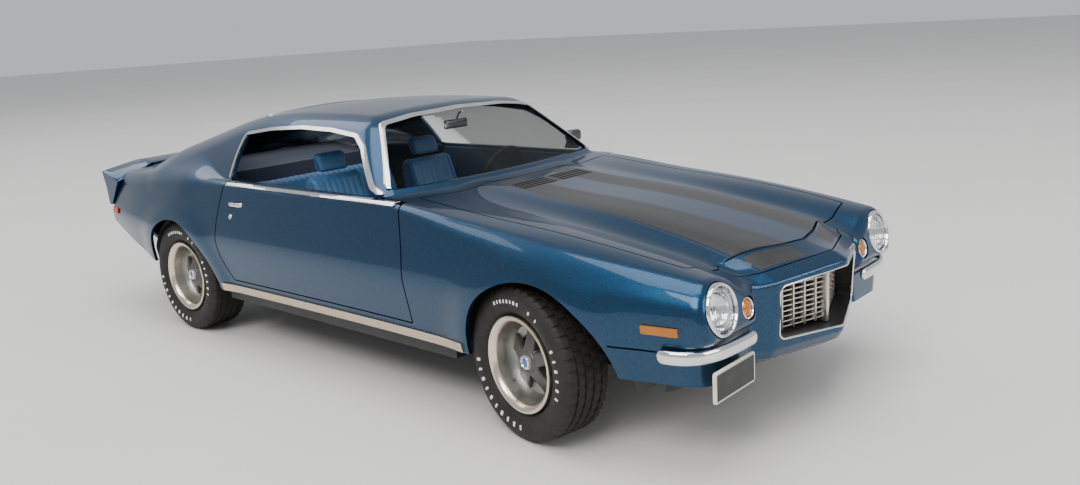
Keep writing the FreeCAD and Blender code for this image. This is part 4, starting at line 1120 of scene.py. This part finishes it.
def make_tail():
    panel = prism("tail_plate", rounded(rect(-41.0, 41.0, 30.8, 45.5), 1.4), "yz", -128.6, -127.3)
    rings = []
    for y in (-34.0, -23.0, 23.0, 34.0):
        boolean(panel, tube_tool("t", (-130.5, y, TAIL_LAMP_Z), (-127.0, y, TAIL_LAMP_Z), 4.0))
        lens = [(0.2, 0.0), (0.2, 3.2), (1.2, 3.2), (1.5, 2.7), (1.62, 2.0), (1.72, 1.9), (1.72, 1.3),
                (1.62, 1.2), (1.7, 0.0)]
        centre = (-127.4, y, TAIL_LAMP_Z)
        name = f"tail_lens_{'r' if y < 0 else 'l'}_{abs(int(y))}"
        dress(lathe(name, lens, centre, (-1, 0, 0), 64), RED_LENS, "red_lens", "car_body", "tail_lamps")
        ring = [(0.0, 3.95), (1.6, 3.95), (1.95, 3.75), (1.95, 3.45), (1.5, 3.25), (0.0, 3.25)]
        rings.append(lathe("ring", ring, centre, (-1, 0, 0), 64))
    dress(joined("tail_rings", rings), CHROME, "chrome", "car_body")
    dress(bevelled(panel, 0.15, 2), BLACK_SATIN, "chassis_black", "car_body", "tail_panel")
    for side in (-1, 1):
        marker = net_strip("tail_marker", side, (-125.0, -119.0), (35.0, 37.0), 0.45)
        dress(marker, RED_LENS, "red_lens", "car_body")
    line = [(-128.9, 42.0), (-129.9, 40.4), (-130.9, 37.4), (-131.7, 33.0), (-132.15, 27.0), (-132.2, 0.0)]
    half = spline_outline(line, 40)
    path = [(x, -y, BUMPER_Z) for x, y in half] + [(x, y, BUMPER_Z) for x, y in half[-2::-1]]
    return sweep("bumper_bar", path, oval(0.55, 1.7, 3.0, 24))


LIFTED = net("lifted", -0.5, 1.1)


def net_strip(name, side, xs, zs, edge=0.3):
    """Band lying on the body side, a little proud of it."""
    outline = rounded(rect(*xs, *zs), edge)
    low, high = sorted((side * 60.0, side * 44.0))
    strip = boolean(copy_of(LIFTED, name), prism("t", outline, "xz", low, high), "INTERSECT")
    boolean(strip, CORE, keep_tool=True)
    field_normals(strip, lambda x, y, z: skin_field(x, y, z) - 0.5)
    return strip


CORE = net("core", 0.25, 1.4)


def opening_strip(name, outline, plane, width, low, high, keep):
    """Bright band round a window opening, limited to a box."""
    wide = prism("t", offset_outline(outline, width), plane, low, high)
    strip = boolean(copy_of(LIFTED, name), wide, "INTERSECT")
    boolean(strip, prism("t", outline, plane, low - 1.0, high + 1.0))
    boolean(strip, block("t", *keep), "INTERSECT")
    boolean(strip, CORE, keep_tool=True)
    field_normals(strip, lambda x, y, z: skin_field(x, y, z) - 0.5)
    return strip


def door_handle(side):
    """Pull handle: a rounded bar whose ends turn into the door skin."""
    z = 45.3
    line = [(-40.5, -0.5), (-40.2, 0.1), (-39.5, 0.42), (-37.3, 0.5), (-35.1, 0.42), (-34.4, 0.1),
            (-34.1, -0.5)]
    path = [(x, side * (float(side_y(x, z)) + out), z) for x, out in spline_outline(line, 24)]
    return sweep("handle", path, oval(0.38, 0.62, 2.6, 16))


def door_lock(side):
    """Key lock: a small turned button under the handle."""
    x, z = -39.0, 41.6
    profile = [(-0.6, 0.0), (-0.6, 0.78), (0.24, 0.78), (0.36, 0.66), (0.36, 0.34), (0.2, 0.26), (0.2, 0.0)]
    return lathe("lock", profile, (x, side * float(side_y(x, z)), z), (0.0, side * 0.96, 0.28), 32)


def spoiler_blade():
    """Blade across the trunk lid: flush with the lid in front, standing past the tail behind."""
    verts = []
    places = np.linspace(-32.2, 32.2, 47)
    for y in places:
        bow = 0.4 * (y / 32.2) ** 2
        front = float(top_z(-119.3, y))
        rear = float(top_z(-126.0, y))
        verts += [(-119.05, y, max(front + 0.04, 51.8 - bow)), (-122.2, y, max(front - 0.1, 52.1 - bow)),
                  (-125.5, y, 52.5 - bow), (-128.6, y, 52.5 - bow), (-131.1, y, 52.3 - bow),
                  (-131.35, y, 52.0 - bow), (-131.0, y, 50.9 - bow), (-126.2, y, rear + 0.25),
                  (-125.7, y, rear - 0.6), (-119.4, y, front - 0.6)]
    blade = new_object("spoiler_blade", verts, loft_faces(len(places), 10))
    return bevelled(fix_normals(blade), 0.12, 2, 40.0)


for side, tag in SIDES:
    dress(bumperette(side), CHROME, "chrome", "car_body", "front_bumperettes").name = "bumperette_" + tag
    marker = net_strip("front_marker_" + tag, side, (110.6, 118.4), (31.3, 33.1))
    dress(marker, AMBER, "amber_lens", "car_body", "front_markers")
    rocker = net_strip("rocker_strip_" + tag, side, (-50.0, 57.6), (16.8, 19.3), 0.2)
    dress(rocker, ROCKER_METAL, "trim_silver", "car_body", "rocker_mouldings")
    limits = (-60.0, 60.0, *sorted((side * 60.0, side * 25.0)), 52.4, 75.0)
    frame_strip = opening_strip("window_strip_" + tag, rounded(SIDE_WINDOW, 0.9), "xz", 0.95,
                                *sorted((side * 60.0, side * 25.0)), limits)
    dress(frame_strip, SILVER_TRIM, "trim_silver", "car_body", "side_window_trim")
    belt = net_strip("belt_strip_" + tag, side, (-44.0, 33.8), (50.5, 51.3), 0.2)
    brightwork = joined("door_brightwork_" + tag, [belt, door_handle(side), door_lock(side)])
    dress(brightwork, SILVER_TRIM, "trim_silver", "door_r" if side < 0 else "door_l", "door_trim_" + tag)
shield_strip = opening_strip("windshield_strip", rounded(WINDSHIELD_LINE, 1.5), "yz", 0.8, 2.0, 50.0,
                             (0.0, 60.0, -60.0, 60.0, 53.6, 75.0))
dress(shield_strip, SILVER_TRIM, "trim_silver", "car_body", "windshield_trim")
dress(opening_strip("rear_window_strip", rounded(mirrored(REAR_WINDOW), 2.0), "xy", 0.8, 53.0, 80.0,
                    (-95.0, -40.0, -40.0, 40.0, 53.0, 80.0)), SILVER_TRIM, "trim_silver", "car_body")
make_plate()
dress(make_tail(), CHROME, "chrome", "car_body", "rear_bumper")
dress(spoiler_blade(), PAINT, "body_paint", "trunk", "spoiler_centre")


# ---------------------------------------------------------------- glass
def make_glass(name, tool):
    pane = boolean(copy_of(GLASS_OUT, name), GLASS_IN, keep_tool=True)
    boolean(pane, tool, "INTERSECT")
    field_normals(pane, skin_field)
    mesh = pane.data
    mesh.set_sharp_from_angle(angle=math.radians(40.0))
    return pane


GLASS_OUT = net("glass_out", 0.35, 1.3, (-95.0, 45.0), 49.0)
GLASS_IN = net("glass_in", 0.85, 1.5, (-96.0, 46.0), 47.0)
opening = offset_outline(rounded(WINDSHIELD_LINE, 1.5), -0.05)
shield = make_glass("windshield_pane", prism("t", opening, "yz", 2.0, 50.0))
dress(shield, GLASS, "window_glass", "car_body", "windshield")
opening = offset_outline(rounded(mirrored(REAR_WINDOW), 2.0), -0.05)
back_light = make_glass("rear_pane", prism("t", opening, "xy", 53.0, 80.0))
dress(back_light, GLASS, "window_glass", "car_body", "rear_window")
for spare in (GLASS_OUT, GLASS_IN, LIFTED, CORE, OUTER):
    bpy.data.objects.remove(spare)


# ---------------------------------------------------------------- wheels
def tread(blocks=44):
    """Tyre surface with sidewalls and a cut tread, as rings of (outwards, radius) points."""
    wall = [(-4.4, 11.4), (-5.3, 11.9), (-6.1, 13.2), (-6.45, 14.9), (-6.3, 16.3), (-5.85, 17.3)]
    grooves = [-3.35, -1.15, 1.15, 3.35]
    across = [-5.3, -4.6]
    for g in grooves:
        across += [g - 0.34, g - 0.26, g + 0.26, g + 0.34]
    across += [4.6, 5.3]
    turns = []
    for k in range(blocks):
        for part in (0.0, 0.11, 0.15, 0.5, 0.61, 0.65):
            turns.append((k + part) / blocks)
    verts = []
    rows = len(wall) * 2 + len(across)
    for i, t in enumerate(turns):
        angle = 2.0 * math.pi * t
        phase = i % 6
        ring = list(wall)
        for s in across:
            r = TYRE_R - 0.012 * max(0.0, abs(s) - 3.0) ** 3
            rib = sum(s > g for g in grooves)
            deep = any(abs(s - g) < 0.3 for g in grooves)
            open_cut = phase in (0, 1) if rib % 2 == 0 else phase in (3, 4)
            cut = 0.5 if deep else (0.38 if open_cut else 0.0)
            ring.append((s, r - cut))
        ring += [(-s, r) for s, r in reversed(wall)]
        verts += [(r * math.cos(angle), s, r * math.sin(angle)) for s, r in ring]
    faces = grid_faces(len(turns), rows, closed_rows=True)
    return finish_mesh(new_object("tyre", verts, faces), 30.0)


def sidewall_marks():
    """Plain raised white marks in three arcs, no lettering."""
    pieces = []
    arcs = [(188.0, 272.0, 10, 1.15, 14.75), (26.0, -16.0, 6, 1.0, 14.75), (116.0, 82.0, 8, 0.85, 14.9),
            (66.0, 56.0, 2, 0.85, 14.8)]
    for start, end, count, tall, radius in arcs:
        for k in range(count):
            angle = math.radians(start + (end - start) * k / (count - 1))
            wide = tall * (0.62, 0.46, 0.7, 0.52)[k % 4]
            outline = rounded(rect(-wide / 2, wide / 2, -tall / 2, tall / 2), 0.2, 3)
            verts = []
            for s in (6.2, 6.5):
                for a, b in outline:
                    r = radius + b
                    verts.append((r * math.cos(angle) - a * math.sin(angle), s,
                                  r * math.sin(angle) + a * math.cos(angle)))
            pieces.append(fix_normals(new_object("mark", verts, loft_faces(2, len(outline)), smooth=False)))
    return joined("marks", pieces)


def wheel_lathe(name, profile, segments=120):
    return lathe(name, profile, (0.0, 0.0, 0.0), (0.0, 1.0, 0.0), segments)


def spoke(angle):
    """One tapered arm from the hub to the bowl."""
    stations = [(1.6, 2.2, 2.9), (3.2, 1.75, 2.65), (5.0, 1.65, 2.1), (6.6, 1.9, 1.35), (7.9, 2.5, 0.75)]
    verts = []
    for r, half, top in stations:
        for a, s in ((-half, -0.6), (-half, top - 0.45), (-half + 0.4, top), (half - 0.4, top),
                     (half, top - 0.45), (half, -0.6)):
            verts.append((r * math.cos(angle) - a * math.sin(angle), s,
                          r * math.sin(angle) + a * math.cos(angle)))
    arm = new_object("spoke", verts, loft_faces(len(stations), 6))
    return bevelled(finish_mesh(arm), 0.18, 2)


def rim_pieces():
    """Trim ring, bowl, spoked centre, and cap of one wheel."""
    ring = wheel_lathe("ring", [(4.4, 11.38), (5.35, 11.5), (5.85, 11.3), (5.95, 11.0), (5.85, 10.6),
                                (5.45, 10.1), (4.95, 9.75), (4.6, 9.62), (4.3, 9.7), (3.9, 10.6)])
    bowl = wheel_lathe("bowl", [(4.7, 9.7), (3.6, 9.45), (2.2, 9.15), (0.9, 8.75), (0.25, 8.3), (0.0, 7.7),
                                (0.0, 6.2), (-0.8, 5.9), (-1.2, 5.0), (-1.2, 0.0), (-2.2, 0.0), (-2.2, 9.3),
                                (-4.2, 10.4), (-4.2, 11.36), (4.2, 11.36)])
    arms = [spoke(math.radians(72.0 * k + 90.0)) for k in range(5)]
    hub = wheel_lathe("hub", [(-1.0, 0.0), (-1.0, 2.9), (2.4, 2.8), (2.95, 2.4), (3.05, 1.9), (3.05, 0.0)],
                      64)
    nuts = []
    for k in range(5):
        angle = math.radians(72.0 * k + 126.0)
        centre = (2.9 * math.cos(angle), 0.0, 2.9 * math.sin(angle))
        profile = [(0.0, 0.0), (0.0, 0.45), (2.2, 0.45), (2.45, 0.3), (2.45, 0.0)]
        nuts.append(lathe("nut", profile, centre, (0, 1, 0), 6))
    cap_ring = wheel_lathe("cap_ring", [(2.6, 0.0), (2.6, 1.75), (3.5, 1.7), (3.85, 1.5), (3.95, 1.2),
                                        (3.7, 1.0), (3.6, 0.0)], 64)
    cap = wheel_lathe("cap", [(3.3, 0.0), (3.3, 1.02), (3.78, 0.98), (3.98, 0.55), (4.02, 0.0)], 48)
    return {"ring": (ring, RIM_RING), "bowl": (bowl, RIM_BOWL),
            "centre": (joined("centre", arms + [hub]), SPOKE_GREY),
            "nuts": (joined("nuts", nuts + [cap_ring]), CHROME), "cap": (cap, BLUE_CAP)}


def set_on_axle(obj, name, side, x, track, steered):
    """Copy of a wheel piece moved to its axle end, steered where the wheel is."""
    twin = copy_of(obj, name)
    move = Matrix.Translation((x * MM, side * track * MM, HUB_Z * MM)) @ Matrix.Scale(side, 4, (0, 1, 0))
    if steered:
        pivot = Matrix.Translation((FRONT_AXLE * MM, side * KINGPIN_Y * MM, 0.0))
        move = pivot @ Matrix.Rotation(STEER_REST, 4, "Z") @ pivot.inverted() @ move
    twin.data.transform(move)
    if side < 0:
        twin.data.flip_normals()
    return twin


WHEELS = [("front_right", -1, FRONT_AXLE, TRACK_FRONT, True),
          ("front_left", 1, FRONT_AXLE, TRACK_FRONT, True),
          ("rear_right", -1, REAR_AXLE, TRACK_REAR, False),
          ("rear_left", 1, REAR_AXLE, TRACK_REAR, False)]
tyre_mesh = tread()
marks_mesh = sidewall_marks()
rim_meshes = rim_pieces()
for tag, side, x, track, steered in WHEELS:
    body_name = "wheel_" + tag
    tyre = set_on_axle(tyre_mesh, "tyre_tread_" + tag, side, x, track, steered)
    dress(tyre, RUBBER, "tyre_rubber", body_name, "tyre_" + tag)
    marks = set_on_axle(marks_mesh, "tyre_marks_" + tag, side, x, track, steered)
    dress(marks, WHITE_MARKS, "tyre_rubber", body_name)
    for part, (mesh_obj, material) in rim_meshes.items():
        piece = set_on_axle(mesh_obj, "wheel_" + part + "_" + tag, side, x, track, steered)
        dress(piece, material, "wheel_silver", body_name, *(["rim_" + tag] if part == "bowl" else []))
for spare in [tyre_mesh, marks_mesh] + [entry[0] for entry in rim_meshes.values()]:
    bpy.data.objects.remove(spare)


# ---------------------------------------------------------------- cabin
def bolster(name, outline, y0, y1, radius, pleats=0, depth=0.3, panel=0.8):
    """Stuffed form: a side outline carried across, rounded at both ends, with sewn pleats."""
    outline = rounded(outline, 1.6, 5)
    middle = 0.5 * (y0 + y1)
    half = 0.5 * (y1 - y0)
    verts = []
    places = np.concatenate([-half + radius * (1.0 - np.cos(np.linspace(0.0, math.pi / 2, 7))),
                             np.linspace(-half + radius, half - radius, 12 * max(pleats, 2) + 1)[1:-1],
                             half - radius * (1.0 - np.cos(np.linspace(math.pi / 2, 0.0, 7)))])
    for p in places:
        edge = max(0.0, radius - (half - abs(p)))
        inset = radius - math.sqrt(max(radius * radius - edge * edge, 0.0))
        if pleats and abs(p) < half * panel:
            wave = abs(math.sin(math.pi * pleats * (p / (2.0 * half * panel) + 0.5)))
            inset += depth * (1.0 - wave) ** 2
        elif pleats:
            inset -= 0.12
        moved = offset_outline(outline, -inset)
        verts += [(x, middle + p, z) for x, z in moved]
    return finish_mesh(new_object(name, verts, loft_faces(len(places), len(outline))), 50.0)


def front_seat(side, tag):
    y = side * 19.5
    cushion = [(1.0, 19.0), (2.3, 26.3), (0.0, 28.4), (-17.0, 26.9), (-20.8, 25.2), (-20.0, 19.0)]
    back = [(-19.7, 28.0), (-16.7, 29.5), (-24.5, 50.2), (-27.5, 51.0), (-29.8, 49.0), (-25.5, 22.7),
            (-22.0, 22.7)]
    head = [(-25.3, 51.8), (-26.9, 57.2), (-29.2, 57.8), (-30.4, 56.4), (-29.3, 52.0)]
    parts = [bolster("cushion", cushion, y - 9.9, y + 9.9, 1.6, 7),
             bolster("back", back, y - 9.5, y + 9.5, 1.6, 7),
             bolster("head", head, y - 5.3, y + 5.3, 1.3)]
    seat = joined("front_seat_" + tag, parts)
    dress(seat, SEAT_BLUE, "blue_interior", "car_body", "front_seats")


def rear_bench():
    cushion = [(-34.0, 18.5), (-33.2, 27.2), (-36.0, 28.4), (-49.4, 26.2), (-49.4, 18.5)]
    back = [(-50.1, 24.1), (-50.1, 27.6), (-58.6, 46.2), (-61.9, 46.8), (-62.2, 44.0), (-55.1, 24.1)]
    parts = [bolster(part, outline, -28.8, 28.8, 1.5, 20) for part, outline in (("c", cushion), ("b", back))]
    bench = joined("rear_bench", parts)
    dress(bench, SEAT_BLUE, "blue_interior", "car_body", "rear_seat")


def cabin_mirror():
    head = block("mirror_head", 9.0, 10.5, -4.5, 4.5, 64.0, 66.6, 0.5, 3)
    arm = sweep("arm", [(10.0, 0.0, 66.0), (10.6, 0.0, 67.4), (11.6, 0.0, 68.6), (13.0, 0.0, 69.2)],
                oval(0.3, 0.3, count=12))
    dress(head, SILVER_TRIM, "chrome", "car_body", "cabin_mirror")
    dress(arm, SILVER_TRIM, "chrome", "car_body")


front_seat(-1, "right")
front_seat(1, "left")
rear_bench()
cabin_mirror()

# ---------------------------------------------------------------- the frame's own pieces that stay in view
KEPT = {
    "spoiler_ends": (PAINT, "body_paint", 0.35),
    "door_card_right": (CABIN_DARK, "dark_interior", 0.2),
    "door_card_left": (CABIN_DARK, "dark_interior", 0.2),
    "door_mirror": (BLACK_GLOSS, "chrome", 0.2), "chassis": (BLACK_SATIN, "chassis_black", 0.15),
    "chassis_screws": (STEEL, "steel", 0.1), "exhaust": (STEEL, "steel", 0.15),
    "driveshaft": (DARK_STEEL, "steel", 0.15),
    "rear_axle": (DARK_STEEL, "steel", 0.15), "leaf_springs": (DARK_STEEL, "steel", 0.1),
    "front_crossmember": (DARK_STEEL, "steel", 0.15), "cabin_tub": (CARPET, "dark_interior", 0.2),
    "dashboard": (CABIN_DARK, "dark_interior", 0.5), "steering_column": (BLACK_SATIN, "dark_interior", 0.1),
    "console": (CABIN_DARK, "dark_interior", 0.1), "engine_block": (ENGINE_PAINT, "engine_orange", 0.2),
    "valve_covers": (CHROME, "chrome", 0.3), "air_cleaner": (BLACK_SATIN, "chassis_black", 0.1),
    "radiator": (BLACK_SATIN, "chassis_black", 0.1), "knuckle_right": (DARK_STEEL, "steel", 0.1),
    "knuckle_left": (DARK_STEEL, "steel", 0.1), "tie_rod": (DARK_STEEL, "steel", 0.1),
    "steering_wheel": (BLACK_SATIN, "dark_interior", 0.1),
}
for node, (material, slot_name, edge) in KEPT.items():
    obj = NODES[node]
    obj.data.materials.clear()
    obj.data.materials.append(material)
    weld = obj.modifiers.new("weld", "WELD")
    weld.merge_threshold = 0.005 * MM
    bevel = obj.modifiers.new("edge", "BEVEL")
    bevel.width = edge * MM
    bevel.segments = 2
    bevel.limit_method = "ANGLE"
    bevel.angle_limit = math.radians(35.0)


# ---------------------------------------------------------------- floor, light and camera
def floor_finish():
    f = Finish("studio_floor")
    f.set(Base_Color=f.mottled((0.66, 0.645, 0.62), (0.70, 0.685, 0.66), 90.0, 3.0),
          Roughness=0.55)
    f.bump(f.noise(3.0, 2.0), 0.03, 0.1)
    return f.material


def make_floor():
    floor = new_object("studio_floor", [(*corner, 0) for corner in rect(-4000, 4000, -4000, 4000)],
                       [(0, 1, 2, 3)], smooth=False)
    floor.data.materials.append(floor_finish())


def soft_light(name, place, target, size, power, colour=(1.0, 1.0, 1.0)):
    light = bpy.data.lights.new(name, "AREA")
    light.shape = "RECTANGLE"
    light.size, light.size_y = size
    light.energy = power
    light.color = colour
    obj = bpy.data.objects.new(name, light)
    obj.location = place
    obj.rotation_euler = (Vector(target) - Vector(place)).to_track_quat("-Z", "Y").to_euler()
    bpy.context.scene.collection.objects.link(obj)


def make_world():
    world = bpy.data.worlds.new("studio")
    bpy.context.scene.world = world
    world.use_nodes = True
    back = world.node_tree.nodes["Background"]
    back.inputs["Color"].default_value = (0.92, 0.95, 1.0, 1.0)
    back.inputs["Strength"].default_value = 0.62


def make_camera():
    """Camera at the measured viewing place, azimuth, elevation and roll."""
    a, e, r = (math.radians(v) for v in (41.939, 11.239, -3.365))
    back = Vector((math.sin(a) * math.cos(e), -math.cos(a) * math.cos(e), math.sin(e)))
    right = Vector((math.cos(a), math.sin(a), 0.0))
    up = back.cross(right)
    x_axis = math.cos(r) * right + math.sin(r) * up
    y_axis = -math.sin(r) * right + math.cos(r) * up
    turn = Matrix((x_axis, y_axis, back)).transposed().to_4x4()
    camera = bpy.data.cameras.new("camera")
    camera.sensor_width = 36.0
    camera.lens = 31.59
    camera.shift_x = 0.0014
    camera.shift_y = -0.0297
    camera.clip_start = 0.005
    camera.clip_end = 50.0
    obj = bpy.data.objects.new("camera", camera)
    obj.matrix_world = Matrix.Translation((0.217891, -0.196737, 0.093849)) @ turn
    bpy.context.scene.collection.objects.link(obj)
    bpy.context.scene.camera = obj


make_floor()
make_world()
soft_light("key", (0.25, -0.75, 0.85), (0.03, 0.0, 0.03), (0.7, 0.5), 9.0, (1.0, 0.98, 0.95))
soft_light("fill", (1.0, 0.15, 0.5), (0.0, 0.0, 0.04), (0.6, 0.5), 4.5)
soft_light("top", (0.05, -0.1, 1.1), (0.0, 0.0, 0.03), (0.9, 0.7), 8.0, (0.96, 0.98, 1.0))
soft_light("back", (-0.9, -0.1, 0.9), (0.0, 0.0, 0.04), (0.7, 0.5), 3.0)
make_camera()
